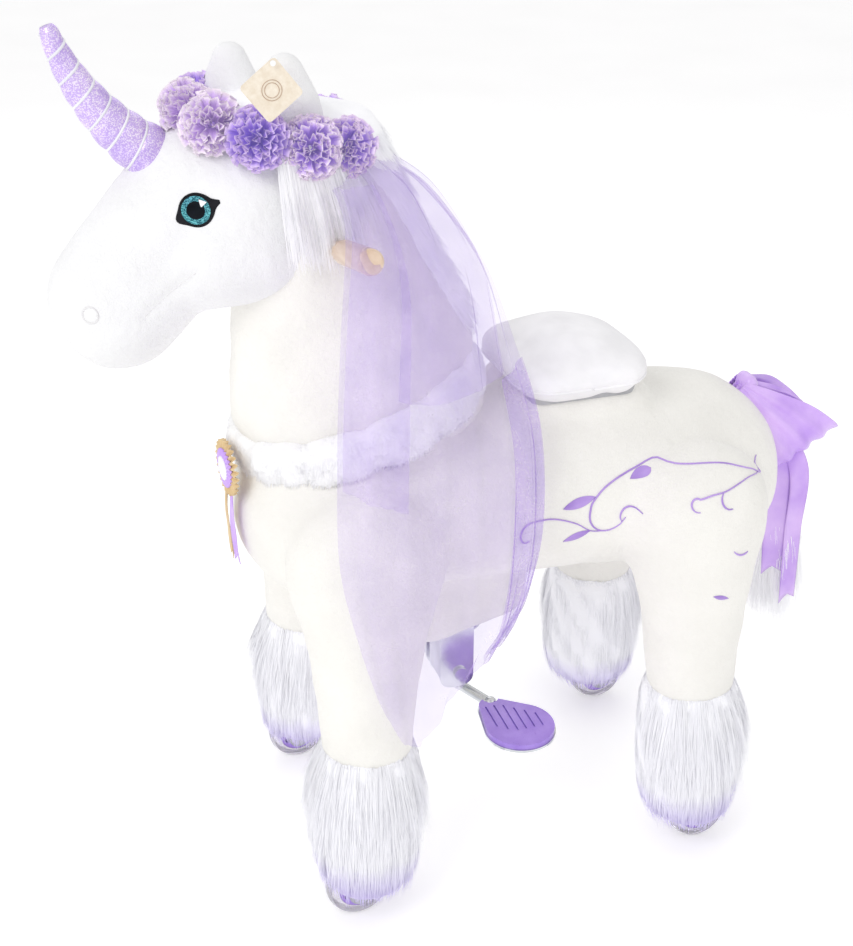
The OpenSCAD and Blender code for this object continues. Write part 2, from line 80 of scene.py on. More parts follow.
# One leg's foot and pivot, in millimetres to the left of and behind the middle of the wheels
LEG_FOOT = np.array([148.0, 198.0, 0.0])
LEG_PIVOT = np.array([128.0, 185.0, 430.0])


def at(x, y, z):
    """A point in millimetres, counted from the floor under the middle of the wheels."""
    return Vector((x * MM, y * MM + WHEELS_MIDDLE, z * MM))


# ---------- materials ----------


def noise_node(tree, scale, detail=3.0, stretch=(1, 1, 1)):
    """A noise texture over the object's own coordinates, stretched along an axis if asked."""
    coords = tree.nodes.new("ShaderNodeTexCoord")
    mapping = tree.nodes.new("ShaderNodeMapping")
    mapping.inputs["Scale"].default_value = stretch
    texture = tree.nodes.new("ShaderNodeTexNoise")
    texture.inputs["Scale"].default_value = scale
    texture.inputs["Detail"].default_value = detail
    tree.links.new(coords.outputs["Object"], mapping.inputs["Vector"])
    tree.links.new(mapping.outputs["Vector"], texture.inputs["Vector"])
    return texture


def ramp_node(tree, factor, stops):
    """A colour ramp driven by factor; stops are (place, colour)."""
    ramp = tree.nodes.new("ShaderNodeValToRGB")
    elements = ramp.color_ramp.elements
    while len(elements) < len(stops):
        elements.new(0.5)
    for element, (place, colour) in zip(elements, stops):
        element.position = place
        element.color = (*colour, 1)
    tree.links.new(factor, ramp.inputs["Fac"])
    return ramp


def painted(name, scale, detail, stops, stretch=(1, 1, 1)):
    """A new material whose colour changes with a noise."""
    made = bpy.data.materials.new(name)
    made.use_nodes = True
    tree = made.node_tree
    shader = tree.nodes["Principled BSDF"]
    blotch = noise_node(tree, scale, detail, stretch)
    ramp = ramp_node(tree, blotch.outputs["Fac"], stops)
    tree.links.new(ramp.outputs["Color"], shader.inputs["Base Color"])
    return made, tree, shader


def put(shader, values):
    """Sets several of a shader's inputs."""
    for name, value in values.items():
        shader.inputs[name].default_value = value


def add_bump(tree, shader, height, strength, distance, under=None):
    bump = tree.nodes.new("ShaderNodeBump")
    bump.inputs["Strength"].default_value = strength
    bump.inputs["Distance"].default_value = distance
    tree.links.new(height, bump.inputs["Height"])
    if under is not None:
        tree.links.new(under.outputs["Normal"], bump.inputs["Normal"])
    tree.links.new(bump.outputs["Normal"], shader.inputs["Normal"])
    return bump


def cloth(name, dark, light, patch=30, pile=700, clump=110, strength=0.5, sheen=0.4,
          rough=0.9, tint=(1, 1, 1)):
    """Pile cloth: blotches of colour, clumps of pile and single fibres."""
    made, tree, shader = painted(name, patch, 4, [(0.35, dark), (0.65, light)])
    clumps = noise_node(tree, clump, 3)
    fibres = noise_node(tree, pile, 2)
    coarse = add_bump(tree, shader, clumps.outputs["Fac"], strength, 3 * MM)
    add_bump(tree, shader, fibres.outputs["Fac"], strength, 0.9 * MM, coarse)
    put(shader, {"Roughness": rough, "Specular IOR Level": 0.15, "Sheen Weight": sheen,
                 "Sheen Roughness": 0.4, "Sheen Tint": (*tint, 1)})
    return made


def satin(name, dark, light, rough=0.32):
    """Smooth ribbon: fine ribs, a broad shine and soft changes of depth."""
    made, tree, shader = painted(name, 22, 3, [(0.3, dark), (0.7, light)])
    ribs = noise_node(tree, 900, 1, (0.15, 1, 1))
    add_bump(tree, shader, ribs.outputs["Fac"], 0.15, 0.3 * MM)
    put(shader, {"Roughness": rough, "Sheen Weight": 0.15, "Anisotropic": 0.5})
    return made


def speckled(name, base, speck, scale, amount, rough=0.45, metallic=0.0, alpha=1.0):
    """Cloth or film with glitter: small cells, some of them bright."""
    made, tree, shader = painted(name, 30, 3, [(0.3, (0.72, 0.66, 0.86)), (0.65, (1, 1, 1))])
    shade = shader.inputs["Base Color"].links[0].from_socket
    coords = tree.nodes.new("ShaderNodeTexCoord")
    cells = tree.nodes.new("ShaderNodeTexVoronoi")
    cells.inputs["Scale"].default_value = scale
    tree.links.new(coords.outputs["Object"], cells.inputs["Vector"])
    split = tree.nodes.new("ShaderNodeSeparateColor")
    tree.links.new(cells.outputs["Color"], split.inputs["Color"])
    bright = ramp_node(tree, split.outputs["Red"], [(1 - amount - 0.06, base), (1 - amount, speck)])
    mix = tree.nodes.new("ShaderNodeMix")
    mix.data_type, mix.blend_type = "RGBA", "MULTIPLY"
    mix.inputs["Factor"].default_value = 1
    tree.links.new(bright.outputs["Color"], mix.inputs["A"])
    tree.links.new(shade, mix.inputs["B"])
    tree.links.new(mix.outputs["Result"], shader.inputs["Base Color"])
    add_bump(tree, shader, split.outputs["Green"], 0.35, 0.4 * MM)
    put(shader, {"Roughness": rough, "Metallic": metallic, "Alpha": alpha})
    return made


def hard(name, dark, light, rough, metallic=0.0, grain=60, stretch=(1, 1, 1), bump=0.05, coat=0.0):
    """Plastic, metal or wood: a little colour variation, uneven gloss and fine marks."""
    made, tree, shader = painted(name, grain, 4, [(0.3, dark), (0.7, light)], stretch)
    marks = noise_node(tree, grain * 9, 3, stretch)
    gloss = tree.nodes.new("ShaderNodeMapRange")
    gloss.inputs["To Min"].default_value = max(0.02, rough - 0.06)
    gloss.inputs["To Max"].default_value = rough + 0.1
    tree.links.new(marks.outputs["Fac"], gloss.inputs["Value"])
    tree.links.new(gloss.outputs["Result"], shader.inputs["Roughness"])
    add_bump(tree, shader, marks.outputs["Fac"], bump, 0.3 * MM)
    put(shader, {"Metallic": metallic, "Coat Weight": coat})
    return made


def lifted(made, amount):
    """White pile passes light on from strand to strand; this faint white glow is painted light that
    stands in for it.
    """
    put(made.node_tree.nodes["Principled BSDF"],
        {"Emission Color": (1.0, 0.99, 1.0, 1), "Emission Strength": amount})
    return made


def by_tip(made, low, high):
    """Colours a material from low to high along the point attribute called tip."""
    tree, shader = made.node_tree, made.node_tree.nodes["Principled BSDF"]
    reader = tree.nodes.new("ShaderNodeAttribute")
    reader.attribute_name = "tip"
    ramp = ramp_node(tree, reader.outputs["Fac"], [(0.0, low), (1.0, high)])
    tree.links.new(ramp.outputs["Color"], shader.inputs["Base Color"])
    return made


CREAM = cloth("cream_plush", (0.88, 0.865, 0.825), (0.925, 0.91, 0.87), patch=14, sheen=0.25)
WHITE = cloth("white_plush", (0.87, 0.87, 0.875), (0.92, 0.92, 0.93), patch=16, sheen=0.25)
# The collar's pile gets a faint painted glow from lifted().
COLLAR = lifted(cloth("collar_plush", (0.90, 0.90, 0.90), (0.94, 0.94, 0.95), clump=160,
                      strength=0.3, sheen=0.3), 0.06)
PADDED = cloth("saddle_cloth", (0.90, 0.89, 0.91), (0.97, 0.96, 0.98), pile=2200, clump=40,
               strength=0.12, sheen=0.1, rough=0.6)
VELVET = cloth("lavender_velvet", (0.62, 0.54, 0.86), (0.80, 0.74, 0.95), pile=1500,
               strength=0.5, sheen=0.9, tint=(0.9, 0.85, 1))
FELT = cloth("black_felt", (0.008, 0.008, 0.01), (0.02, 0.02, 0.025), pile=1800, strength=0.3,
             sheen=0.1)
# Grey for the saddle board: partly the grey strip under the saddle, partly painted shade under the
# saddle's edge.
GREY_FELT_AND_SHADE = cloth("grey_felt_and_shade", (0.40, 0.40, 0.42), (0.52, 0.52, 0.54), pile=1800, strength=0.3,
                  sheen=0.2)
# The hair gets a faint painted glow from lifted().
HAIR = lifted(cloth("white_hair", (0.92, 0.92, 0.95), (0.98, 0.98, 1.0), patch=60, strength=0.1,
                    sheen=0.2, rough=0.6), 0.08)
SATIN = satin("violet_satin", (0.56, 0.34, 0.88), (0.76, 0.54, 0.98), 0.22)
GOLD_RIBBON = satin("gold_ribbon", (0.66, 0.46, 0.22), (0.86, 0.68, 0.40), 0.45)
WHITE_RIBBON = satin("white_ribbon", (0.88, 0.86, 0.90), (0.97, 0.96, 0.99), 0.4)
THREAD = satin("violet_thread", (0.34, 0.20, 0.62), (0.56, 0.38, 0.84), 0.4)
LAME = speckled("glitter_lame", (0.66, 0.50, 0.90), (0.93, 0.84, 1.0), 1100, 0.36, 0.30, 0.3)
SILVER_CORD = satin("silver_cord", (0.74, 0.74, 0.80), (0.95, 0.95, 0.98), 0.3)
DEEP_TULLE = speckled("deep_tulle", (0.56, 0.38, 0.90), (0.92, 0.84, 1.0), 1500, 0.06, 0.6, 0.0, 0.36)
TULLE = speckled("tulle", (0.62, 0.46, 0.92), (0.95, 0.90, 1.0), 1500, 0.06, 0.6, 0.0, 0.26)
WOOD = hard("handle_wood", (0.68, 0.50, 0.36), (0.84, 0.68, 0.54), 0.35, grain=90,
            stretch=(0.12, 1, 1), bump=0.15, coat=0.4)
CHROME = hard("chrome", (0.58, 0.60, 0.62), (0.78, 0.80, 0.82), 0.16, 1.0, 40)
STEEL = hard("grey_steel", (0.34, 0.35, 0.37), (0.46, 0.47, 0.49), 0.38, 0.7, 50, bump=0.2)
BRONZE = hard("bronze", (0.46, 0.32, 0.14), (0.66, 0.48, 0.24), 0.35, 1.0, 80)
VIOLET_PLASTIC = hard("violet_plastic", (0.34, 0.20, 0.72), (0.42, 0.27, 0.80), 0.28, bump=0.08,
                      coat=0.3)
CLEAR_TYRE = hard("clear_tyre", (0.80, 0.78, 0.84), (0.92, 0.90, 0.94), 0.18)
CLEAR_TYRE.node_tree.nodes["Principled BSDF"].inputs["Transmission Weight"].default_value = 0.75
CARD = hard("tag_card", (0.80, 0.70, 0.56), (0.90, 0.82, 0.70), 0.75, grain=200, bump=0.2)
PRINT = hard("tag_print", (0.50, 0.36, 0.26), (0.60, 0.46, 0.34), 0.7, grain=300)
CLEAR_THREAD = hard("clear_thread", (0.86, 0.86, 0.88), (0.95, 0.95, 0.96), 0.3)


# ---------- building blocks ----------


def unit_sphere():
    bm = bmesh.new()
    bmesh.ops.create_icosphere(bm, subdivisions=4, radius=1)
    points = [v.co.copy() for v in bm.verts]
    bm.free()
    return points


SPHERE = unit_sphere()


def link(mesh, name, material, smooth=True):
    made = bpy.data.objects.new(name, mesh)
    bpy.context.scene.collection.objects.link(made)
    mesh.materials.clear()
    mesh.materials.append(material)
    mesh.shade_smooth() if smooth else mesh.shade_flat()
    return made


def mesh_object(name, points, faces, material, smooth=True):
    mesh = bpy.data.meshes.new(name)
    mesh.from_pydata([tuple(p) for p in points], [], faces)
    mesh.update()
    return link(mesh, name, material, smooth)


def hull(*blobs):
    """The convex hull of some ellipsoids; each is (centre in mm, radii in mm)."""
    bm = bmesh.new()
    for centre, radii in blobs:
        middle = at(*centre)
        for d in SPHERE:
            bm.verts.new(middle + Vector((d.x * radii[0], d.y * radii[1], d.z * radii[2])) * MM)
    made = bmesh.ops.convex_hull(bm, input=bm.verts)
    bmesh.ops.delete(bm, geom=[v for v in bm.verts if not v.link_faces], context="VERTS")
    bm.verts.index_update()
    points = [v.co.copy() for v in bm.verts]
    faces = [[v.index for v in f.verts] for f in bm.faces]
    bm.free()
    return points, faces


def chain(blobs):
    """Hulls between each blob and the next."""
    return [hull(a, b) for a, b in zip(blobs, blobs[1:])]


def organic(name, shapes, material, voxel=5, rounds=30):
    """One smooth skin round several overlapping closed shapes."""
    points, faces = [], []
    for shape_points, shape_faces in shapes:
        first = len(points)
        points += shape_points
        faces += [[first + i for i in f] for f in shape_faces]
    return skinned(mesh_object(name, points, faces, material), voxel, rounds)


def smoothed(made, rounds):
    """Adds rounds of smoothing to an object."""
    smooth = made.modifiers.new("smooth", "SMOOTH")
    smooth.factor, smooth.iterations = 0.5, rounds


def skinned(made, voxel, rounds=0):
    """Meshes an object evenly and smooths it."""
    remesh = made.modifiers.new("skin", "REMESH")
    remesh.mode, remesh.voxel_size = "VOXEL", voxel * MM
    if rounds:
        smoothed(made, rounds)
    return applied(made)


def thickened(made, thickness):
    """Gives a sheet its thickness in millimetres, half to either side."""
    solid = made.modifiers.new("cloth", "SOLIDIFY")
    solid.thickness, solid.offset = thickness * MM, 0
    return applied(made)


def applied(made):
    """Applies an object's modifiers."""
    graph = bpy.context.evaluated_depsgraph_get()
    mesh = bpy.data.meshes.new_from_object(made.evaluated_get(graph))
    made.modifiers.clear()
    old = made.data
    made.data = mesh
    bpy.data.meshes.remove(old)
    mesh.name = made.name
    mesh.shade_smooth()
    return made


def points_of(made):
    co = np.empty(len(made.data.vertices) * 3)
    made.data.vertices.foreach_get("co", co)
    return co.reshape(-1, 3)


def move_points(made, co):
    made.data.vertices.foreach_set("co", co.ravel())
    made.data.update()


def normals_of(made):
    n = np.empty(len(made.data.vertices) * 3)
    made.data.vertex_normals.foreach_get("vector", n)
    return n.reshape(-1, 3)


def spline(points, steps=8):
    """A smooth curve through points (Catmull-Rom)."""
    p = [np.array(q, float) for q in points]
    p = [2 * p[0] - p[1], *p, 2 * p[-1] - p[-2]]
    out = []
    for a, b, c, d in zip(p, p[1:], p[2:], p[3:]):
        for i in range(steps):
            t = i / steps
            out.append(0.5 * (2 * b + (c - a) * t + (2 * a - 5 * b + 4 * c - d) * t * t
                              + (3 * b - a - 3 * c + d) * t ** 3))
    return np.array([*out, p[-2]])


def tube(name, path, radii, material, sides=10):
    """A closed tube along a path; radii is one radius or one for each point."""
    path = np.array([list(p) for p in path], float)
    radii = np.broadcast_to(radii, len(path))
    tangent = np.gradient(path, axis=0)
    tangent /= np.linalg.norm(tangent, axis=1)[:, None] + 1e-12
    up = np.array([0.31, 0.22, 0.92])
    points, faces = [], []
    for p, t, r in zip(path, tangent, radii):
        up = up - (up @ t) * t
        up /= np.linalg.norm(up)
        other = np.cross(t, up)
        for k in range(sides):
            a = 2 * math.pi * k / sides
            points.append(p + r * (math.cos(a) * up + math.sin(a) * other))
    for i in range(len(path) - 1):
        for k in range(sides):
            a, b = i * sides + k, i * sides + (k + 1) % sides
            faces.append([a, b, b + sides, a + sides])
    faces.append(list(range(sides))[::-1])
    faces.append([(len(path) - 1) * sides + k for k in range(sides)])
    return mesh_object(name, points, faces, material)


def grid_faces(rows, columns, wrap=False):
    """Quads over rows of points that are stored row by row."""
    across = columns if wrap else columns - 1
    return [[i * columns + k, i * columns + (k + 1) % columns,
             (i + 1) * columns + (k + 1) % columns, (i + 1) * columns + k]
            for i in range(rows - 1) for k in range(across)]


def surface(rows, steps=8):
    """A smooth grid of points through rows of control points."""
    fine = [spline(row, steps) for row in rows]
    columns = np.array([spline([row[k] for row in fine], steps) for k in range(len(fine[0]))])
    return columns.transpose(1, 0, 2)


def grid_normals(grid):
    across = np.gradient(grid, axis=1)
    down = np.gradient(grid, axis=0)
    n = np.cross(down, across)
    return n / (np.linalg.norm(n, axis=2)[..., None] + 1e-12)


def grid_object(name, grid, material, thickness=0.0):
    rows, columns = grid.shape[:2]
    made = mesh_object(name, grid.reshape(-1, 3), grid_faces(rows, columns), material)
    return thickened(made, thickness) if thickness else made


def set_tip(made, values):
    """How far each point takes the tip colour of its material, from 0 to 1."""
    attribute = made.data.attributes.new("tip", "FLOAT", "POINT")
    attribute.data.foreach_set("value", np.asarray(values, np.float32).ravel())


def strands(name, roots, outward, starts, ends, lengths, width, steps, material):
    """Hair: flat tapering strips that leave along starts, turn towards ends and shade as one coat."""
    t = np.linspace(0, 1, steps + 1)[None, :, None]
    starts = starts / np.linalg.norm(starts, axis=1)[:, None]
    ends = ends / np.linalg.norm(ends, axis=1)[:, None]
    path = roots[:, None] + lengths[:, None, None] * (
        t * starts[:, None] + 0.5 * t * t * (ends - starts)[:, None])
    along = np.gradient(path, axis=1)
    side = np.cross(along, outward[:, None])
    side /= np.linalg.norm(side, axis=2)[..., None] + 1e-12
    half = 0.5 * width * MM * (1 - 0.85 * t)
    both = np.stack([path - side * half, path + side * half], 2).reshape(-1, 3)
    count, ring = len(roots), (steps + 1) * 2
    first = (np.arange(count) * ring)[:, None] + (np.arange(steps) * 2)[None]
    quads = np.stack([first, first + 1, first + 3, first + 2], 2).reshape(-1, 4)
    mesh = bpy.data.meshes.new(name)
    mesh.vertices.add(len(both))
    mesh.vertices.foreach_set("co", both.ravel())
    mesh.loops.add(quads.size)
    mesh.loops.foreach_set("vertex_index", quads.ravel())
    mesh.polygons.add(len(quads))
    mesh.polygons.foreach_set("loop_start", np.arange(0, quads.size, 4))
    mesh.update(calc_edges=True)
    made = link(mesh, name, material)
    tilt = outward + wavy(roots, 150, 0.5, 9.0)
    tilt /= np.linalg.norm(tilt, axis=1)[:, None]
    mesh.normals_split_custom_set_from_vertices(np.repeat(tilt, ring, axis=0))
    return made


def scatter(made, count, rng, keep=None):
    """Random points on a mesh, with their normals, spread by area."""
    co, n = points_of(made), normals_of(made)
    made.data.calc_loop_triangles()
    tri = np.array([t.vertices[:] for t in made.data.loop_triangles])
    if keep is not None:
        tri = tri[keep(co[tri].mean(1))]
    a, b, c = co[tri[:, 0]], co[tri[:, 1]], co[tri[:, 2]]
    area = np.linalg.norm(np.cross(b - a, c - a), axis=1)
    pick = rng.choice(len(tri), count, p=area / area.sum())
    u, v = rng.random(count), rng.random(count)
    over = u + v > 1
    u[over], v[over] = 1 - u[over], 1 - v[over]
    mix = np.stack([1 - u - v, u, v], 1)[..., None]
    places = (co[tri[pick]] * mix).sum(1)
    normal = (n[tri[pick]] * mix).sum(1)
    return places, normal / np.linalg.norm(normal, axis=1)[:, None]


def wavy(points, scale, amount, seed=0.0):
    """A smooth random vector at each point, the same on every run."""
    shift = Vector((seed, 3.7 * seed, 1.3 * seed))
    return np.array([noise.noise_vector(Vector(p) * scale + shift) for p in points]) * amount


def tree_of(*objects):
    """A search tree over several meshes, for laying things on them."""
    points, faces = [], []
    for made in objects:
        first = len(points)
        points += [v.co.copy() for v in made.data.vertices]
        faces += [[first + i for i in p.vertices] for p in made.data.polygons]
    return BVHTree.FromPolygons(points, faces)


def dress(material, *names):
    """Gives CAD nodes their finished material."""
    for name in names:
        node = frame["nodes"][name]
        node.data.materials.clear()
        node.data.materials.append(material)


def copy_of(node_name, name, material):
    """A copy of a CAD node in another material."""
    node = frame["nodes"][node_name]
    made = bpy.data.objects.new(name, node.data.copy())
    bpy.context.scene.collection.objects.link(made)
    made.matrix_world = node.matrix_world.copy()
    made.data.materials.clear()
    made.data.materials.append(material)
    return made


# ---------- body, legs, neck and head ----------


def leg_chain(side, end):
    """Blobs from the haunch down to the hoof."""
    corner = np.array([side, end, 1])
    pivot, foot = LEG_PIVOT * corner, LEG_FOOT * corner
    along = (foot - pivot) / np.linalg.norm(foot - pivot)
    reach = [(0, (60, 84, 84)), (50, (62, 70, 70)), (90, (60, 61, 61)), (140, (55, 55, 55)),
             (215, (49, 49, 49)), (325, (50, 50, 50))]
    return chain([(tuple(pivot + along * d), r) for d, r in reach])


def build_skin():
    """Belly, flanks, chest, the pouch round the pedal hanger, the saddle's seat and the legs."""
    shapes = [hull(([0, 232, 428], [128, 105, 105]), ([0, 60, 446], [137, 112, 106])),
              hull(([0, 60, 446], [137, 112, 106]), ([0, -60, 450], [137, 102, 102])),
              hull(([0, -190, 446], [134, 106, 106]), ([0, -110, 452], [137, 102, 106])),
              hull(([0, -190, 446], [120, 100, 90]), ([0, -158, 540], [108, 124, 36])),
              hull(([30, -88, 290], [27, 27, 32]), ([-30, -88, 290], [27, 27, 32]),
                   ([30, 2, 312], [27, 27, 32]), ([-30, 2, 312], [27, 27, 32]),
                   ([0, -50, 380], [60, 90, 30])),
              hull(*[([x, y, 539], [26, 26, 27]) for x in (-46, 46) for y in (26, 134)])]
    for side in SIDES.values():
        for end in ENDS.values():
            shapes += leg_chain(side, end)
    skin = organic("skin", shapes, CREAM, 6, 26)
    co = points_of(skin)
    move_points(skin, co + normals_of(skin) * wavy(co, 26, 1.6 * MM)[:, :1])
    return skin


# The height in millimetres at which a leg cover is sewn on, and how far out the legs begin
LEG_CUT = 322
LEG_INNER = 66


def split_skin(skin):
    """Cuts the skin into the torso and four leg covers that share their edges exactly."""
    bm = bmesh.new()
    bm.from_mesh(skin.data)
    bmesh.ops.bisect_plane(bm, geom=bm.verts[:] + bm.edges[:] + bm.faces[:],
                           plane_co=at(0, 0, LEG_CUT), plane_no=(0, 0, 1), dist=1e-6)
    bm.normal_update()
    bm.verts.index_update()
    co = np.array([v.co[:] for v in bm.verts])
    normal = np.array([v.normal[:] for v in bm.verts])
    faces = [[v.index for v in f.verts] for f in bm.faces]
    bm.free()
    groups = {"torso": []}
    for face in faces:
        c = co[face].mean(0)
        if c[2] < LEG_CUT * MM and abs(c[0]) > LEG_INNER * MM:
            end = "front" if c[1] < WHEELS_MIDDLE else "rear"
            groups.setdefault(f"{end}_leg_{word_of(c[0])}_cover", []).append(face)
        else:
            groups["torso"].append(face)
    made = {}
    for name, own in groups.items():
        used = sorted({i for f in own for i in f})
        place = {i: k for k, i in enumerate(used)}
        made[name] = mesh_object(name, co[used], [[place[i] for i in f] for f in own], CREAM)
        made[name].data.normals_split_custom_set_from_vertices([tuple(n) for n in normal[used]])
    bpy.data.objects.remove(skin)
    return made


SKIN = split_skin(build_skin())
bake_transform(SKIN["torso"])
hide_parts("barrel_plush", "chest_plush")
for end in ENDS:
    for side, sign in SIDES.items():
        cover = SKIN[f"{end}_leg_{side}_cover"]
        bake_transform(cover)
        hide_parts(f"{end}_leg_{side}")

NECK = organic("neck", [hull(([0, -154, 545], [106, 137, 24]), ([0, -162, 636], [90, 126, 40])),
                        hull(([0, -162, 636], [90, 126, 40]), ([0, -190, 768], [74, 84, 60]))],
               CREAM, 6, 24)
neck_points = points_of(NECK)
folds = np.sin((neck_points[:, 2] - 0.35 * neck_points[:, 1]) / (9 * MM))
fade = np.exp(-((neck_points[:, 2] - 0.6) / 0.035) ** 2)
move_points(NECK, neck_points + normals_of(NECK) * (
    wavy(neck_points, 22, 1.8 * MM)[:, 0] + folds * fade * 0.9 * MM)[:, None])
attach(NECK, "steering")
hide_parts("neck_plush")


# The middle of the eye and the line of the mouth, as (y, z) in millimetres
EYE = (-326, 797)
MOUTH = [(-374, 695), (-360, 707), (-342, 722), (-325, 736)]


def build_head():
    """Forehead to muzzle over cheek to jaw, with a groove for the mouth and a hollow for each eye."""
    shapes = chain([([0, -248, 792], [79, 86, 80]), ([0, -302, 806], [62, 66, 56]),
                    ([0, -350, 762], [56, 60, 56]), ([0, -399, 699], [56, 61, 62])])
    shapes += chain([([0, -262, 752], [80, 74, 70]), ([0, -292, 742], [76, 66, 62]),
                     ([0, -340, 728], [58, 54, 50]), ([0, -392, 688], [57, 62, 62])])
    head = organic("head", shapes, WHITE, 4, 26)
    co, n = points_of(head), normals_of(head)
    a, b = (np.array(at(0, *p)) for p in (MOUTH[0], MOUTH[-1]))
    t = np.clip(((co - a)[:, 1:] @ (b - a)[1:]) / ((b - a)[1:] @ (b - a)[1:]), 0, 1)
    off = np.linalg.norm((co - (a + t[:, None] * (b - a)))[:, 1:], axis=1)
    groove = np.exp(-(off / (5 * MM)) ** 2) * (np.abs(co[:, 0]) > 25 * MM)
    socket = np.linalg.norm((co - np.array(at(0, *EYE)))[:, 1:], axis=1)
    hollow = np.exp(-(socket / (26 * MM)) ** 2) * (np.abs(co[:, 0]) > 30 * MM)
    move_points(head, co + n * (wavy(co, 24, 1.2 * MM)[:, 0] - 2.4 * MM * groove
                                - 2.5 * MM * hollow)[:, None])
    return head


HEAD = build_head()
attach(HEAD, "steering")
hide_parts("head_plush")
HEAD_TREE = tree_of(HEAD)
BODY_TREE = tree_of(SKIN["torso"])


def cast(tree, point, direction):
    """Where a ray first meets a mesh, and the normal there."""
    hit, normal, _, _ = tree.ray_cast(Vector(point), Vector(direction).normalized())
    return hit, normal


def laid(tree, path, side, lift):
    """Drops (y, z) points onto a mesh from one side, lifted off it a little."""
    out = []
    for y, z in path:
        hit, normal = cast(tree, at(side * 400, y, z), (-side, 0, 0))
        if hit is not None:
            out.append(hit + normal * lift * MM)
    return out


# ---------- face ----------


def join(name, objects):
    """Joins several objects into one, keeping their materials."""
    mesh, bm = bpy.data.meshes.new(name), bmesh.new()
    materials = []
    for made in objects:
        for m in made.data.materials:
            if m not in materials:
                materials.append(m)
    for made in objects:
        first = len(bm.faces)
        bm.from_mesh(made.data)
        bm.faces.ensure_lookup_table()
        own = [materials.index(m) for m in made.data.materials]
        for face in bm.faces[first:]:
            face.material_index = own[min(face.material_index, len(own) - 1)]
    bm.to_mesh(mesh)
    bm.free()
    joined = bpy.data.objects.new(name, mesh)
    bpy.context.scene.collection.objects.link(joined)
    for m in materials:
        mesh.materials.append(m)
    for made in objects:
        bpy.data.objects.remove(made)
    return joined


IRIS = speckled("teal_glitter", (0.0, 0.12, 0.15), (0.16, 0.62, 0.62), 1500, 0.4, 0.3, 0.3)
PUPIL = hard("pupil", (0.002, 0.003, 0.006), (0.006, 0.01, 0.014), 0.3)
PUPIL.node_tree.nodes["Principled BSDF"].inputs["Specular IOR Level"].default_value = 0.1
GLINT = hard("glint", (0.92, 0.92, 0.94), (0.98, 0.98, 0.99), 0.3)


def build_eye(side):
    """Felt almond, glitter ring, pupil and highlight, laid one on another."""
    inward = Vector((-side * 0.907, 0.366, -0.208)).normalized()
    u = Vector((0, 37, 13)).normalized()
    u = (u - u.dot(inward) * inward).normalized()
    v = u.cross(inward).normalized()
    v = v if v.z > 0 else -v
    centre = at(side * 74, *EYE)

    def patch(name, outline, lift, dome, material, shift=(0, 0)):
        """A domed patch that is laid on the head along the eye's inward line."""
        rings, around = 7, 48
        points = []
        for i in range(rings + 1):
            for k in range(around):
                x, y = outline(2 * math.pi * k / around)
                f = i / rings
                p = centre + (u * (x * f + shift[0]) + v * (y * f + shift[1])) * MM
                hit, normal = cast(HEAD_TREE, p - inward * 0.06, inward)
                height = lift + dome * (1 - f * f)
                points.append(hit - inward * height * MM)
        return mesh_object(name, points, grid_faces(rings + 1, around, True), material)

    def almond(a):
        """A round with a long point at the back corner and a small one in front."""
        off = (a + 0.06 + math.pi) % (2 * math.pi) - math.pi
        r = (16.0 + 6.5 * math.exp(-(off / 0.17) ** 2) + 2.2 * math.exp(-(off / 0.55) ** 2)
             + 4.8 * math.exp(-((a - 3.24) / 0.34) ** 2))
        return r * math.cos(a), r * math.sin(a)

    def disc(r):
        return lambda a: (r * math.cos(a), r * math.sin(a))

    def wedge(a):
        """A three-cornered outline."""
        r = 2.3 / max(0.5, math.cos((a + 0.2) % (2 * math.pi / 3) - math.pi / 3))
        return r * math.cos(a), r * math.sin(a)

    return join(f"eye_{word_of(side)}", [
        patch("felt", almond, 0.4, 2.0, FELT), patch("ring", disc(13.2), 2.0, 2.2, IRIS),
        patch("pupil", disc(8.4), 3.4, 1.6, PUPIL),
        patch("glint", wedge, 4.0, 0.6, GLINT, (8.6, 3.6))])


EYES = [build_eye(side) for side in SIDES.values()]
for eye in EYES:
    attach(eye, "steering")
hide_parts("eyes")

SOFT_THREAD = satin("soft_thread", (0.80, 0.79, 0.80), (0.88, 0.87, 0.88), 0.7)
face_threads = []
for side in SIDES.values():
    mouth = laid(HEAD_TREE, spline(MOUTH, 6), side, -0.4)
    face_threads.append(tube("mouth", mouth, 0.8 * MM, SOFT_THREAD, 6))
    around = [(-424 + 7 * math.cos(a), 700 + 8 * math.sin(a))
              for a in np.linspace(0, 2 * math.pi, 25)]
    ring = laid(HEAD_TREE, around, side, 0.1)
    face_threads.append(tube("nostril", ring, 0.9 * MM, SOFT_THREAD, 6))
face_stitching = join("face_stitching", face_threads)
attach(face_stitching, "steering")


def build_ear(side, low, high):
    """A plump ear with a shallow cup in front."""
    ear = organic(f"ear_{word_of(side)}",
                  chain([(low, (21, 31, 14)), (tuple((np.array(low) + high) / 2), (19, 29, 22)),
                         (high, (12, 18, 17))]), WHITE, 3, 10)
    co, n = points_of(ear), normals_of(ear)
    middle = np.array(at(*((np.array(low) + high) / 2)))
    outward = np.array([side * 0.8, -0.6, 0.0])
    facing = np.clip(n @ outward, 0, 1)
    span = np.abs((co - middle) @ np.array([0.6, 0.8 * side, 0]))
    cup = facing * np.exp(-(span / (11 * MM)) ** 2) * np.exp(-((co[:, 2] - middle[2]) / (26 * MM)) ** 2)
    move_points(ear, co - outward * (5 * MM * cup)[:, None] + wavy(co, 40, 0.8 * MM))
    return ear


EARS = [build_ear(1, (44, -222, 852), (47, -230, 911)),
        build_ear(-1, (-44, -262, 852), (-47, -262, 906))]
for ear in EARS:
    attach(ear, "steering")
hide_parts("ears")


# ---------- horn ----------


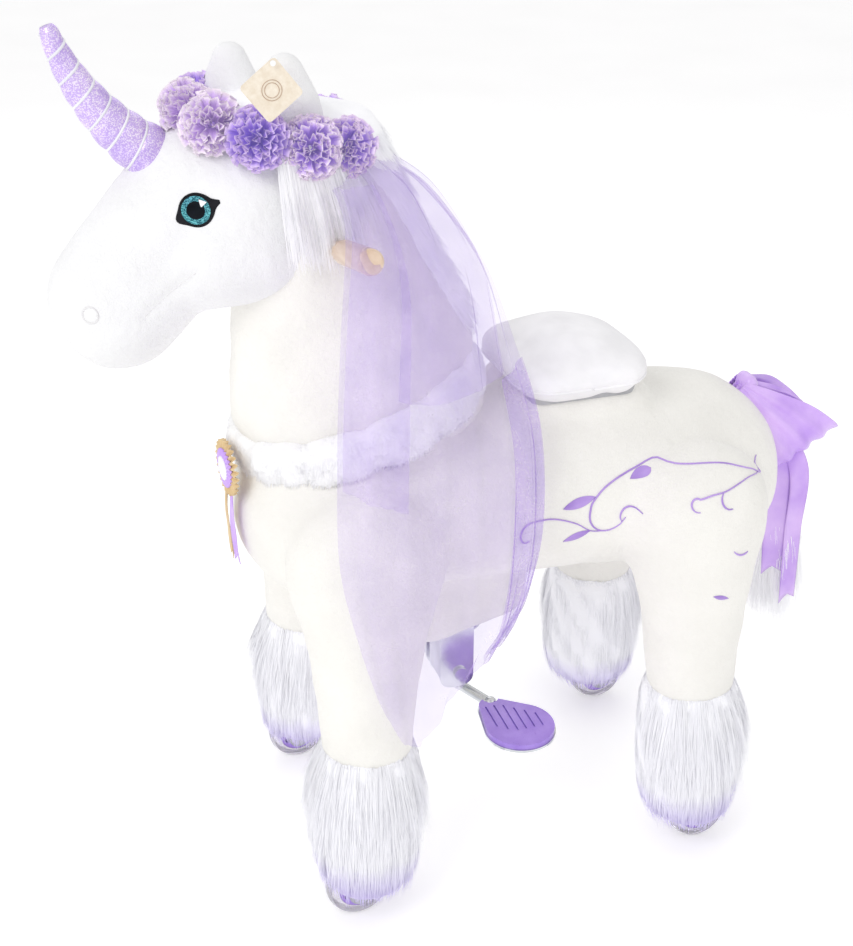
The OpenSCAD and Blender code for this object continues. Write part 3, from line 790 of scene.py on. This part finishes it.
def build_horn():
    """A horn that bends upwards, padded between the turns of its cord, and the cord."""
    turns, steps, step_length = 7, 7, 21.9
    path = [np.array([0.0, -345, 830])]
    for i in range(steps):
        a = math.radians(52 - 40 * i / steps)
        path.append(path[-1] + step_length * np.array([0, -math.sin(a), math.cos(a)]))
    line = spline(path, 24)
    tangent = np.gradient(line, axis=0)
    tangent /= np.linalg.norm(tangent, axis=1)[:, None]
    side = np.array([1.0, 0, 0])
    count, around = len(line), 72
    s = np.linspace(0, 1, count)
    radius = 27.5 - 19.5 * s
    radius *= np.sqrt(np.clip((1.02 - s) / 0.05, 0.0, 1)) ** 0.6
    points = []
    cord = []
    for i in range(count):
        up = np.cross(tangent[i], side)
        for k in range(around):
            a = 2 * math.pi * k / around
            turn = (a / (2 * math.pi) - turns * s[i]) % 1
            bulge = 0.90 + 0.12 * abs(math.sin(math.pi * turn)) ** 0.6
            d = math.cos(a) * side + math.sin(a) * up
            points.append(at(*(line[i] + radius[i] * bulge * d)))
    for f in np.linspace(0.03, 0.965, 420):
        i = f * (count - 1)
        j = min(int(i), count - 2)
        c = line[j] + (line[j + 1] - line[j]) * (i - j)
        up = np.cross(tangent[j], side)
        a = 2 * math.pi * turns * f
        cord.append(at(*(c + radius[j] * 0.91 * (math.cos(a) * side + math.sin(a) * up))))
    faces = grid_faces(count, around, True)
    faces.append([(count - 1) * around + k for k in range(around)])
    faces.append(list(range(around))[::-1])
    return (mesh_object("horn_skin", points, faces, LAME),
            tube("horn_wrap", cord, 1.5 * MM, SILVER_CORD, 8))


HORN, WRAP = build_horn()
for made, node in ((HORN, "horn"), (WRAP, "horn_cord")):
    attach(made, "steering")
    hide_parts(node)


# ---------- crown ----------


CROWN_MIDDLE = np.array([0, -234, 852])
CROWN_TILT = math.radians(-13)
CROWN_RADIUS = 84
FLOWER_RADIUS = 29


def on_crown(x, y, z):
    """A point of the crown's own tilted frame, in millimetres."""
    c, s = math.cos(CROWN_TILT), math.sin(CROWN_TILT)
    return CROWN_MIDDLE + np.array([x, y * c - z * s, y * s + z * c])


def petal_cloth(name, inner, edge):
    made = cloth(name, inner, inner, pile=1800, strength=0.25, sheen=0.5, rough=0.75)
    return by_tip(made, inner, edge)


PETALS = [petal_cloth("petals_violet", (0.42, 0.24, 0.88), (0.88, 0.72, 0.98)),
          petal_cloth("petals_lilac", (0.58, 0.38, 0.94), (1.0, 0.90, 0.97)),
          petal_cloth("petals_pink", (0.74, 0.54, 0.95), (1.0, 0.93, 0.96)),
          petal_cloth("petals_lavender", (0.54, 0.35, 0.93), (0.97, 0.84, 0.97))]
# Every petal colour gets a faint painted glow.
for petals in PETALS:
    lifted(petals, 0.05)


def build_flower(index, centre, outward, radius, material):
    """A dense pompom of ruffled petals round one point."""
    rng = np.random.default_rng(40 + index)
    outward = np.array(outward) / np.linalg.norm(outward)
    points, faces, tips = [], [], []
    count, rows, columns = 66, 6, 15
    for p in range(count):
        z = 1 - 1.35 * (p + 0.5) / count
        turn = p * 2.399963
        flat = math.sqrt(max(0, 1 - z * z))
        d = np.array([flat * math.cos(turn), flat * math.sin(turn), z])
        d = turned_to(d, outward)
        roll = rng.random() * math.pi
        across = np.cross(d, [0.2, 0.5, 0.8])
        across /= np.linalg.norm(across)
        other = np.cross(d, across)
        across, other = (across * math.cos(roll) + other * math.sin(roll),
                         other * math.cos(roll) - across * math.sin(roll))
        reach = radius * rng.uniform(0.86, 1.1)
        phase, wide = rng.random() * 6.28, rng.uniform(10, 15)
        first = len(points)
        for i in range(rows):
            t = i / (rows - 1)
            for k in range(columns):
                q = 2 * k / (columns - 1) - 1
                ruffle = math.sin(phase + 9 * q) * 3.2 * t ** 2
                r = reach * (0.30 + 0.70 * t) * (1 - 0.10 * q * q)
                place = centre + d * r + across * (q * wide * (0.3 + 0.7 * t)) + other * (
                    ruffle + 3.0 * t * t * math.sin(phase))
                points.append(at(*place))
                tips.append(max(0.0, t * 2.6 - 1.6) ** 2)
        faces += [[first + i for i in f] for f in grid_faces(rows, columns)]
    flower = mesh_object(f"carnation_{index}", points, faces, material)
    set_tip(flower, tips)
    return flower


def turned_to(d, axis):
    """d, which is given about +Z, turned so that +Z lies along axis."""
    spin = Vector((0, 0, 1)).rotation_difference(Vector(axis))
    return np.array(spin @ Vector(d))


FLOWERS = []
# Which petal colour each flower has, from the left ear round by the back
FLOWER_SET = [0, 1, 3, 2, 0, 1, 3, 0, 2, 2]
for i in range(len(FLOWER_SET)):
    angle = math.radians(-21 + 36 * i)
    centre = on_crown(CROWN_RADIUS * math.cos(angle), CROWN_RADIUS * math.sin(angle), 1)
    out = centre - on_crown(0, 0, -20)
    FLOWERS.append(build_flower(i, centre - 6 * out / np.linalg.norm(out), out, FLOWER_RADIUS,
                                PETALS[FLOWER_SET[i]]))
    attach(FLOWERS[-1], "steering")
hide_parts("carnations")


# ---------- hair ----------


rng = np.random.default_rng(7)


def locks(roots, clumps=0.5, scale=60):
    """A bend for each root, alike for neighbours, so that hair falls in locks."""
    return wavy(roots, scale, clumps, 5.0)


MANE = organic("mane_base", [
    hull(([0, -250, 866], [50, 44, 20]), ([0, -160, 846], [50, 30, 22])),
    hull(([0, -160, 846], [50, 30, 22]), ([0, -118, 756], [50, 28, 26])),
    hull(([0, -118, 756], [50, 28, 26]), ([0, -62, 662], [44, 24, 24]))], HAIR, 5, 14)
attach(MANE, "steering")
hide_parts("mane")


def build_mane_hair():
    """Short hair combed back and down over the crest."""
    roots, normal = scatter(MANE, 9000, rng)
    down = np.tile([0.0, 0.55, -0.85], (len(roots), 1))
    starts = normal * 0.2 + down * 0.8 + locks(roots, 0.2)
    ends = down - normal * 0.1 + locks(roots, 0.2)
    return strands("mane_hair", roots - normal * 1.5 * MM, normal, starts, ends,
                   rng.uniform(18, 34, len(roots)) * MM, 1.3, 4, HAIR)


def build_fringe(side):
    """Long fine hair that falls from under the crown, behind the cheek."""
    count = 6500
    f = rng.random(count)
    a = np.radians(-7 + 67 * f) if side > 0 else np.radians(187 - 67 * f)
    inset = rng.uniform(66, 80, count)
    ring = np.stack([inset * np.cos(a), inset * np.sin(a), rng.uniform(-16, 2, count)], 1)
    roots = np.array([np.array(at(*on_crown(*p))) for p in ring])
    outward = np.stack([np.cos(a), np.sin(a), np.zeros(count)], 1)
    falls = np.stack([np.full(count, side * 0.06), 0.05 + 0.35 * f, -np.ones(count)], 1)
    starts = outward * 0.22 + falls + locks(roots, 0.25, 70)
    ends = falls + locks(roots, 0.3, 50) + locks(roots, 0.2, 300) - outward * 0.10
    return strands(f"fringe_{word_of(side)}", roots, outward, starts, ends,
                   (28 + 84 * rng.random(count) ** 0.8) * MM, 1.0, 6, HAIR)


for made in (build_mane_hair(), build_fringe(1), build_fringe(-1)):
    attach(made, "steering")


# ---------- collar ----------


def build_collar():
    """A puckered fluffy band round the foot of the neck, tilted down in front."""
    around, ring = 240, 28
    tilt = math.radians(17)
    points = []
    for k in range(around):
        a = 2 * math.pi * k / around
        pucker = 1.6 * math.sin(11 * a) + 1.1 * math.sin(23 * a + 1)
        for i in range(ring):
            b = 2 * math.pi * i / ring
            c, s = math.cos(b), math.sin(b)
            out = 14 * math.copysign(abs(c) ** 0.7, c) + pucker * 0.5
            high = 24 * math.copysign(abs(s) ** 0.8, s) + pucker * s
            x = (110 + out) * math.cos(a)
            y = (126 + out) * math.sin(a)
            place = (x, -158 + y * math.cos(tilt) - high * math.sin(tilt),
                     556 + y * math.sin(tilt) + high * math.cos(tilt))
            points.append(at(*place))
    faces = []
    for k in range(around):
        for i in range(ring):
            m, j = (k + 1) % around, (i + 1) % ring
            faces.append([k * ring + i, m * ring + i, m * ring + j, k * ring + j])
    collar = mesh_object("collar", points, faces, COLLAR)
    co = points_of(collar)
    move_points(collar, co + wavy(co, 45, 2.2 * MM) + wavy(co, 130, 1.0 * MM, 2))
    return collar


COLLAR_BAND = build_collar()
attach(COLLAR_BAND, "steering")
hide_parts("neck_collar")


def fuzz(base, name, count, length, width, material, body):
    """Short standing pile over a soft piece."""
    roots, normal = scatter(base, count, rng)
    combed = np.array([0, 0, -1.0]) + locks(roots, 0.5, 60)
    starts = normal * 0.7 + combed * 0.6
    ends = normal * 0.1 + combed
    made = strands(name, roots - normal * 0.5 * MM, normal, starts, ends,
                   rng.uniform(0.6, 1.1, count) * length * MM, width, 3, material)
    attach(made, body)
    return made


fuzz(COLLAR_BAND, "collar_pile", 24000, 6, 1.0, HAIR, "steering")


# ---------- feet ----------


# The foot fur gets a faint painted glow from lifted().
FUR = lifted(by_tip(cloth("foot_fur", (0.9, 0.9, 0.94), (0.97, 0.97, 1.0), strength=0.1,
                          sheen=0.2, rough=0.6), (0.91, 0.91, 0.95), (0.46, 0.36, 0.80)), 0.07)


def leg_frame(side, end):
    """The leg's line from hoof to pivot: its foot, its direction and two directions across."""
    corner = np.array([side, end, 1])
    foot = LEG_FOOT * corner
    up = LEG_PIVOT * corner - foot
    up /= np.linalg.norm(up)
    across = np.cross([0, 1, 0], up)
    across /= np.linalg.norm(across)
    return foot, up, across, np.cross(up, across)


def build_fur(side, end, name):
    """A cuff of long fur from the leg's seam to the hoof, held in where it faces the pedals."""
    foot, up, across, other = leg_frame(side, end)
    profile = [(46, 222), (51, 217), (56, 202), (59, 168), (60, 132), (59, 102), (57, 78), (54, 64)]
    line = spline([(r, h, 0) for r, h in profile], 3)
    around, points = 72, []
    for r, h, _ in line:
        for k in range(around):
            a = 2 * math.pi * k / around
            d = math.cos(a) * across + math.sin(a) * other
            points.append(at(*(foot + up * h + d * (r + 0.8 * math.sin(9 * a + h / 9)))))
    base = mesh_object(name, points, grid_faces(len(line), around, True)[::-1], FUR)
    set_tip(base, [min(0.8, max(0, (96 - h) / 60)) for r, h, _ in line for _ in range(around)])

    count, steps = 15000, 6
    h = 70 + 152 * rng.random(count) ** 0.7
    a = 2 * math.pi * rng.random(count)
    d = np.cos(a)[:, None] * across + np.sin(a)[:, None] * other
    inner = np.clip(d @ np.array([-side, -end, 0.0]) * math.sqrt(0.5), 0, 1)
    r = np.interp(h, [66, 102, 132, 168, 202, 222], [55, 58, 59, 58, 56, 49.5])
    r += rng.uniform(-1.5, 1, count)
    roots = (foot + up * h[:, None] + d * r[:, None]) * MM + np.array([0, WHEELS_MIDDLE, 0])
    bend = locks(roots, 0.35, 75) + locks(roots, 0.2, 260)
    out = (np.interp(h, [60, 110, 160, 218], [0.0, 0.10, 0.22, 0.5]) * (1 - 0.8 * inner))[:, None]
    starts = d * out - up + bend * 0.5
    inward = np.interp(h, [60, 110, 160, 218], [-0.60, -0.36, -0.06, 0.12]) - 0.3 * inner
    ends = d * inward[:, None] - up + bend * 0.6
    length = np.clip(h - rng.uniform(34, 60, count), 16, rng.uniform(40, 74, count)) * MM
    hair = strands(f"{name}_hair", roots, d, starts, ends, length, 1.25, steps, FUR)
    fall = h[:, None] - length[:, None] / MM * np.linspace(0, 1, steps + 1)[None]
    low = np.clip((94 + 34 * bend[:, :1] - fall) / 76, 0, 0.8)
    set_tip(hair, np.repeat(low, 2, axis=1))
    return base, hair


# The height under which a hoof draws in towards its wheel, and the radius that it draws in to
HOOF_TURN = 78 * MM
HOOF_INNER = 44 * MM


def build_hoof(side, end, name):
    """A velvet hoof whose lower rim draws in and up, so that the wheel shows."""
    hoof = skinned(copy_of(name, f"{name}_velvet", VELVET), 2.5, 6)
    co = points_of(hoof)
    axis = np.array(at(*(LEG_FOOT * [side, end, 1])))[:2]
    below = np.clip(HOOF_TURN - co[:, 2], 0, None)
    reach = np.linalg.norm(co[:, :2] - axis, axis=1)
    past = np.clip(reach - HOOF_INNER, 0, None) / np.maximum(reach, HOOF_INNER)
    co[:, :2] -= (co[:, :2] - axis) * (0.8 * below / HOOF_TURN * past)[:, None]
    co[:, 2] += 0.3 * below
    move_points(hoof, co)
    return hoof


for end, way in ENDS.items():
    for side, sign in SIDES.items():
        base, hair = build_fur(sign, way, f"{end}_fur_{side}")
        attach(base, f"{end}_legs")
        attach(hair, f"{end}_legs")
        if side == "left":
            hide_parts(f"{end}_fur")
        hoof = build_hoof(sign, way, f"{end}_hoof_{side}")
        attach(hoof, f"{end}_legs")
        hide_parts(f"{end}_hoof_{side}")


# ---------- veil ----------


def ripple(grid, amount, waves, seed):
    """Soft vertical folds in a hanging sheet, deeper towards the hem."""
    rows, columns = grid.shape[:2]
    n = grid_normals(grid)
    u = np.linspace(0, 1, columns)[None, :]
    t = np.linspace(0, 1, rows)[:, None]
    depth = amount * (0.35 + 0.65 * t)
    wave = (np.sin(2 * math.pi * waves * u + 1.5 * np.sin(3 * t + seed))
            + 0.5 * np.sin(2 * math.pi * waves * 1.9 * u + seed + 4 * t))
    return grid + n * (depth * wave)[..., None] * MM


def world(rows):
    return [[np.array(at(*p)) for p in row] for row in rows]


# The veil's run from the crown over the peg to its hem, each row from front to back
VEIL_ROWS = [
    [(76, -196, 806), (66, -176, 816), (52, -158, 820), (36, -142, 822), (14, -130, 820),
     (-16, -128, 814)],
    [(120, -202, 806), (104, -170, 796), (84, -134, 792), (62, -106, 788), (30, -84, 784),
     (-14, -82, 778)],
    [(192, -216, 792), (184, -176, 752), (152, -128, 730), (112, -84, 722), (68, -48, 716),
     (14, -26, 704)],
    [(206, -227, 690), (203, -182, 656), (184, -134, 634), (154, -84, 628), (106, -36, 624),
     (46, 2, 616)],
    [(207, -232, 590), (208, -186, 562), (202, -136, 546), (188, -86, 546), (160, -36, 550),
     (122, 0, 560)],
    [(206, -232, 480), (208, -186, 455), (208, -140, 440), (200, -90, 440), (184, -44, 450),
     (158, -6, 470)],
    [(206, -214, 386), (208, -180, 362), (208, -138, 350), (202, -96, 356), (188, -58, 370),
     (166, -22, 395)],
    [(206, -196, 318), (207, -170, 262), (207, -146, 262), (203, -112, 312), (192, -80, 334),
     (176, -52, 352)]]
veil_grid = ripple(surface(world(VEIL_ROWS), 14), 2.6, 7, 0.4)
VEIL = grid_object("veil_sheet", veil_grid, TULLE)


def strip(grid, low, high, rows, lift, seed, name, material=TULLE):
    """A second layer over part of a sheet, gathered into closer folds."""
    columns = grid.shape[1]
    a, b = int(low * columns), int(high * columns)
    part = grid[rows[0]:rows[1], a:b].copy()
    n = grid_normals(part)
    return grid_object(name, ripple(part + n * lift * MM, 1.4, 5, seed), material)


outward_sign = 1 if grid_normals(veil_grid)[60, 30, 0] > 0 else -1
VEIL_BAND = strip(veil_grid, 0.74, 0.99, (44, 96), 3 * outward_sign, 1.7, "veil_band", DEEP_TULLE)
VEIL_FOLD = strip(veil_grid, 0.02, 0.30, (8, 60), 5 * outward_sign, 2.9, "veil_fold")
VEIL_TOP = strip(veil_grid, 0.25, 0.80, (0, 44), 6 * outward_sign, 0.9, "veil_top")
for made in (VEIL, VEIL_BAND, VEIL_FOLD, VEIL_TOP):
    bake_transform(made)
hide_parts("veil")


# ---------- saddle ----------


# How much fuller the saddle is than its plain pad, how far pressure may push it out, and how
# far its skirt hangs down over the board
SADDLE_FULLNESS = 1.28
SADDLE_PUFF = 7 * MM
SADDLE_SKIRT = 9 * MM
SADDLE_FRAMES = 20


def puff(made):
    """Blows a closed piece up as cloth under pressure."""
    scene = bpy.context.scene
    scene.frame_start, scene.frame_end = 1, SADDLE_FRAMES
    before = points_of(made)
    settings = made.modifiers.new("puff", "CLOTH").settings
    settings.quality = 6
    settings.use_pressure = True
    settings.uniform_pressure_force = 4
    settings.effector_weights.gravity = 0
    settings.tension_stiffness = 8
    settings.shrink_min = -0.03
    for i in range(1, SADDLE_FRAMES + 1):
        scene.frame_set(i)
    graph = bpy.context.evaluated_depsgraph_get()
    mesh = bpy.data.meshes.new_from_object(made.evaluated_get(graph))
    made.modifiers.clear()
    scene.frame_set(1)
    after = np.empty(len(mesh.vertices) * 3)
    mesh.vertices.foreach_get("co", after)
    step = after.reshape(-1, 3) - before
    size = np.linalg.norm(step, axis=1)[:, None] + 1e-12
    bpy.data.meshes.remove(mesh)
    move_points(made, before + step * np.minimum(1, SADDLE_PUFF / size))


def build_saddle():
    """A padded saddle whose skirt hangs over the board."""
    saddle = skinned(copy_of("saddle_pad", "saddle", PADDED), 5)
    co = points_of(saddle)
    base_z = co[:, 2].min()
    co[:, 2] = base_z + (co[:, 2] - base_z) * SADDLE_FULLNESS
    move_points(saddle, co)
    puff(saddle)
    co = points_of(saddle)
    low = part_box("saddle_pad")[0]
    floor = low.z - SADDLE_SKIRT
    keep = np.clip((co[:, 2] - low.z) / (14 * MM), 0, 1)
    step = wavy(co, 24, 1.3 * MM) * keep[:, None]
    step[:, 2] -= SADDLE_SKIRT * (1 - keep)
    move_points(saddle, co + step)
    smoothed(saddle, 4)
    finer = saddle.modifiers.new("finer", "SUBSURF")
    finer.levels = finer.render_levels = 1
    applied(saddle)
    co = points_of(saddle)
    co[:, 2] = np.maximum(co[:, 2], floor)
    move_points(saddle, co)
    return saddle


SADDLE = build_saddle()
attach(SADDLE, "frame")
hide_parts("saddle_pad")
saddle_tree = tree_of(SADDLE)


def saddle_seam(height, reach):
    """Where the saddle's side is met at one height, all the way round."""
    middle = middle_of("saddle_pad")
    middle.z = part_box("saddle_pad")[0].z + height * MM
    out = []
    for a in np.linspace(0, 2 * math.pi, 121):
        d = Vector((math.cos(a), math.sin(a), 0))
        start = middle + d * 0.4
        hit, normal, _, _ = saddle_tree.ray_cast(start, -d)
        out.append(hit + normal * reach * MM)
    return out


piping = tube("saddle_piping", saddle_seam(10, 0.4), 1.8 * MM, PADDED, 8)
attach(piping, "frame")


# ---------- tail and bow ----------


TAIL = organic("tail_base", chain([([0, 322, 492], [20, 22, 18]), ([0, 352, 420], [24, 20, 30]),
                                   ([0, 366, 330], [24, 18, 30]), ([0, 372, 245], [18, 14, 26])]),
               HAIR, 5, 10)
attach(TAIL, "frame")
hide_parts("tail_hair")


def build_tail_hair():
    """Strands from the tail's upper part, none of them reaching below the tip."""
    roots, normal = scatter(TAIL, 7000, rng, lambda c: c[:, 2] > 0.25)
    falls = np.tile([0.0, 0.10, -1.0], (len(roots), 1))
    starts = normal * 0.35 + falls + locks(roots, 0.3, 40)
    ends = falls + locks(roots, 0.35, 30) - normal * 0.05
    longest = (roots[:, 2] - 0.2) / MM
    return strands("tail_strands", roots - normal * 2 * MM, normal, starts, ends,
                   np.minimum(rng.uniform(60, 120, len(roots)), longest) * MM, 1.3, 6, HAIR)


tail_hair = build_tail_hair()
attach(tail_hair, "frame")


def build_loop(side):
    """One side of the bow: a wide ribbon that runs back from the knot and folds on itself."""
    half_width = 44
    knot = np.array([side * 6.0, 296, 516])
    out = np.array([0.0, 0.70, -0.71])
    wide = np.array([0.0, 0.71, 0.70])
    rows = []
    for w in np.linspace(-1, 1, 9):
        crease = 3.2 * math.cos(4 * math.pi * w) * (1 - 0.4 * abs(w))
        row = []
        for far, spread, x in ((0, 0.16, 6), (26, 0.50, 20), (58, 0.86, 38), (92, 1.0, 44),
                               (108, 0.98, 30), (92, 0.94, 14), (52, 0.74, 6), (0, 0.14, -2)):
            sweep = far * (1 + 0.10 * w)
            middle = knot + out * sweep + np.array([side * (x + crease * spread), 0, 0])
            row.append(np.array(at(*(middle + wide * (w * half_width * spread)))))
        rows.append(row)
    grid = surface(rows, 8)
    loop = grid_object(f"bow_loop_{word_of(side)}", grid, SATIN, 0.8)
    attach(loop, "frame")
    return loop


def build_ribbon(name, path, wide, width, seed, material=None, body="frame"):
    """A hanging ribbon with a swallow-tail end."""
    line = spline(path, 10)
    rows = len(line)
    grid = np.zeros((rows, 9, 3))
    wide = np.array(wide, float) / np.linalg.norm(wide)
    for i, c in enumerate(line):
        t = i / (rows - 1)
        twist = 0.35 * math.sin(3 * t + seed)
        d = wide * math.cos(twist) + np.cross(wide, [0, 0, 1]) * math.sin(twist)
        for k, w in enumerate(np.linspace(-1, 1, 9)):
            notch = 9 * (1 - abs(w)) * max(0, t - 0.9) / 0.1
            curl = 1.6 * math.sin(5 * t + 2 * w + seed)
            half = width / 2 * (0.45 + 0.55 * min(1, t * 4))
            place = c + d * w * half + np.cross(d, [0, 0, 1]) * curl + np.array([0, 0, notch])
            grid[i, k] = at(*place)
    ribbon = grid_object(name, grid, material or SATIN, 0.6)
    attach(ribbon, body)
    return ribbon


BOW = [build_loop(1), build_loop(-1)]
knot = organic("bow_knot", [hull(([8, 308, 512], [9, 10, 15]), ([-8, 308, 512], [9, 10, 15]))],
               SATIN, 3, 4)
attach(knot, "frame")
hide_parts("tail_bow")
for word, side in SIDES.items():
    inner = [(side * 8, 322, 486), (side * 36, 338, 430), (side * 44, 340, 350), (side * 44, 344, 278)]
    outer = [(side * 10, 330, 480), (side * 44, 362, 420), (side * 46, 364, 330), (side * 46, 368, 236)]
    build_ribbon(f"bow_tail_{word}_inner", inner, (0, 1, -0.1), 30, 0.3)
    build_ribbon(f"bow_tail_{word}_outer", outer, (0, 1, 0.1), 24, 1.4)
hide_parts("bow_ribbons")


# ---------- rosette ----------


def build_rosette():
    """A pleated gold ruffle, a violet ring and a white button, one on another."""
    middle = np.array(at(22, -303, 510))
    axis = np.array(Matrix.Rotation(math.radians(8), 3, "Z") @ Vector((0, -1, 0)))
    x = np.cross([0, 0, 1], axis)
    x /= np.linalg.norm(x)
    y = np.cross(axis, x)

    def plate(name, inner, outer, depth, pleats, high, material, back):
        rings, around = 8, 192
        points = []
        for i in range(rings):
            f = i / (rings - 1)
            for k in range(around):
                a = 2 * math.pi * k / around
                r = inner + (outer - inner) * f
                wave = pleats * math.sin(24 * a) * (0.2 + 0.8 * f)
                points.append(middle + ((math.cos(a) * x + math.sin(a) * y) * r
                                        + axis * (back + high * math.cos(f * math.pi / 2) + wave)) * MM)
        return thickened(mesh_object(name, points, grid_faces(rings, around, True), material), depth)

    return join("rosette_disc", [plate("ruffle", 12, 30, 0.8, 2.6, 2, GOLD_RIBBON, -1),
                                 plate("ring", 9, 21, 0.8, 1.2, 2, SATIN, 2),
                                 plate("button", 0.2, 13, 1.0, 0.0, 3, WHITE_RIBBON, 4)])


ROSETTE = build_rosette()
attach(ROSETTE, "steering")
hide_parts("rosette")
build_ribbon("rosette_tail_tan", [(14, -302, 492), (13, -304, 460), (13, -303, 430), (13, -301, 400)],
             (1, 0.1, 0), 13, 0.2, GOLD_RIBBON, "steering")
build_ribbon("rosette_tail_violet", [(30, -300, 492), (30, -302, 460), (31, -301, 430), (31, -299, 402)],
             (1, 0.15, 0), 13, 1.2, SATIN, "steering")


# ---------- embroidery ----------


def bow_of(y, z, radius, first, last):
    """Points round a part of a circle on the flank, for a stem that curls."""
    return [(y + radius * math.cos(math.radians(a)), z + radius * math.sin(math.radians(a)))
            for a in np.linspace(first, last, 7)]


# Stems, and leaves with their half width, as (y, z) in millimetres seen from the side
STEMS = [[(266, 477), (255, 474), (229, 490), (192, 503), (148, 502), (112, 492), (78, 481), (61, 468)]
         + bow_of(77, 452, 21, 165, 340),
         bow_of(102, 446, 11, 215, 35),
         [(76, 431), (58, 434), (40, 446), (15, 455)] + bow_of(-7, 441, 14, 90, 190)
         + bow_of(-14, 437, 6, 210, 310),
         [(250, 479), (221, 485), (191, 479), (175, 477)] + bow_of(160, 468, 7, 60, 280),
         bow_of(196, 471, 10.5, 138, 280),
         bow_of(213, 421, 15, 215, 295)]
LEAVES = [((26, 464), (63, 472), 5.5), ((28, 425), (58, 434), 4.5), ((105, 483), (128, 493), 4.0),
          ((180, 362), (199, 356), 2.6), ((209, 331), (203, 317), 2.2)]


def build_leaf(side, a, b, half):
    """A domed leaf from a to b, laid on the flank."""
    a, b = np.array(a, float), np.array(b, float)
    n = np.array([-(b - a)[1], (b - a)[0]]) / np.linalg.norm(b - a)
    rows = []
    for t in np.linspace(0, 1, 13):
        w = half * math.sin(math.pi * t) ** 0.8 + 0.05
        rows.append([a + (b - a) * t + n * w * k for k in np.linspace(-1, 1, 7)])
    points = []
    for i, row in enumerate(rows):
        for k, (y, z) in enumerate(row):
            hit, normal = cast(BODY_TREE, at(side * 400, y, z), (-side, 0, 0))
            if hit is None:
                return None
            points.append(hit + normal * (0.3 + 0.9 * (1 - abs(k - 3) / 3)) * MM)
    return mesh_object("leaf", points, grid_faces(13, 7), THREAD)


for word, side in SIDES.items():
    parts = []
    for stem in STEMS:
        line = laid(BODY_TREE, [p[:2] for p in spline([(y, z, 0) for y, z in stem], 8)], side, 0.5)
        if len(line) > 4:
            t = np.linspace(0, 1, len(line))
            parts.append(tube("stem", line, (0.5 + 0.6 * np.sin(math.pi * t)) * MM, THREAD, 7))
    parts += [leaf for leaf in (build_leaf(side, *l) for l in LEAVES) if leaf]
    stitches = join(f"embroidery_{word}", parts)
    for polygon in stitches.data.polygons:
        polygon.use_smooth = True
    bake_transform(stitches)


# ---------- tag ----------


def build_tag_motif():
    """Two plain printed rings on the card, in place of any wording."""
    middle = middle_of("hang_tag")
    middle.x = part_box("hang_tag")[1].x + 0.15 * MM
    parts = []
    for r in (9.0, 6.5):
        ring = [middle + Vector((0, math.cos(a), math.sin(a))) * r * MM
                for a in np.linspace(0, 2 * math.pi, 49)]
        parts.append(tube("ring", ring, 0.35 * MM, PRINT, 6))
    motif = join("tag_motif", parts)
    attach(motif, "tag")


build_tag_motif()


# ---------- carried-over CAD parts ----------


dress(STEEL, "spine_plates", "head_tube", "pedal_bracket", "steering_column", "handle_hub",
      "front_cross_shaft", "rear_cross_shaft", "front_leg_tubes", "rear_leg_tubes",
      "front_axle_bolts", "rear_axle_bolts")
dress(BRONZE, "hip_bushings", "shoulder_bushings")
dress(CHROME, "pedal_axle", "link_rod", "pedal_channels", "pedal_arms")
# The board's grey is partly painted shade under the saddle's edge.
dress(GREY_FELT_AND_SHADE, "saddle_board")
dress(WOOD, "handle_peg_left", "handle_peg_right")
dress(VIOLET_PLASTIC, "pedal_left", "pedal_right", "hub_front_left", "hub_front_right",
      "hub_rear_left", "hub_rear_right")
dress(CLEAR_TYRE, "tyre_front_left", "tyre_front_right", "tyre_rear_left", "tyre_rear_right")
dress(CLEAR_THREAD, "tag_fastener")
dress(CARD, "hang_tag")
dress(PETALS[3], "crown_band")

# ---------- stage ----------


def plain_floor():
    """White paper that reaches past the picture's edges."""
    half = 14.0
    corners = [(-half, -half, 0), (half, -half, 0), (half, half, 0), (-half, half, 0)]
    paper = hard("floor_paper", (0.90, 0.90, 0.90), (0.93, 0.93, 0.93), 0.8, grain=3, bump=0.0)
    made = mesh_object("floor", corners, [[0, 1, 2, 3]], lifted(paper, 0.30), False)


plain_floor()
scene = bpy.context.scene
world_light = bpy.data.worlds.new("studio")
world_light.use_nodes = True
world_light.node_tree.nodes["Background"].inputs["Color"].default_value = (1, 1, 1, 1)
world_light.node_tree.nodes["Background"].inputs["Strength"].default_value = 0.72
scene.world = world_light


def softbox(name, place, target, size, power):
    """A square lamp that looks at a target."""
    light = bpy.data.lights.new(name, "AREA")
    light.shape, light.size = "SQUARE", size
    light.energy = power
    made = bpy.data.objects.new(name, light)
    made.location = place
    made.rotation_euler = (Vector(target) - Vector(place)).to_track_quat("-Z", "Y").to_euler()
    scene.collection.objects.link(made)


softbox("key", (1.6, -2.2, 2.8), (0, 0, 0.5), 1.6, 36)
softbox("fill", (1.8, 2.2, 1.6), (0, 0, 0.4), 2.0, 6)
softbox("back", (-2.4, 0.6, 2.2), (0, 0, 0.5), 2.0, 10)

camera_data = bpy.data.cameras.new("camera")
camera_data.sensor_width, camera_data.lens = 36, 55.18
camera = bpy.data.objects.new("camera", camera_data)
azimuth, elevation = math.radians(72.2), math.radians(27.0)
back = Vector((math.sin(azimuth) * math.cos(elevation), -math.cos(azimuth) * math.cos(elevation),
               math.sin(elevation)))
camera.location = (1.3516, -0.4919, 1.1813)
camera.rotation_euler = (-back).to_track_quat("-Z", "Y").to_euler()
scene.collection.objects.link(camera)
scene.camera = camera
scene.view_settings.view_transform = "Standard"
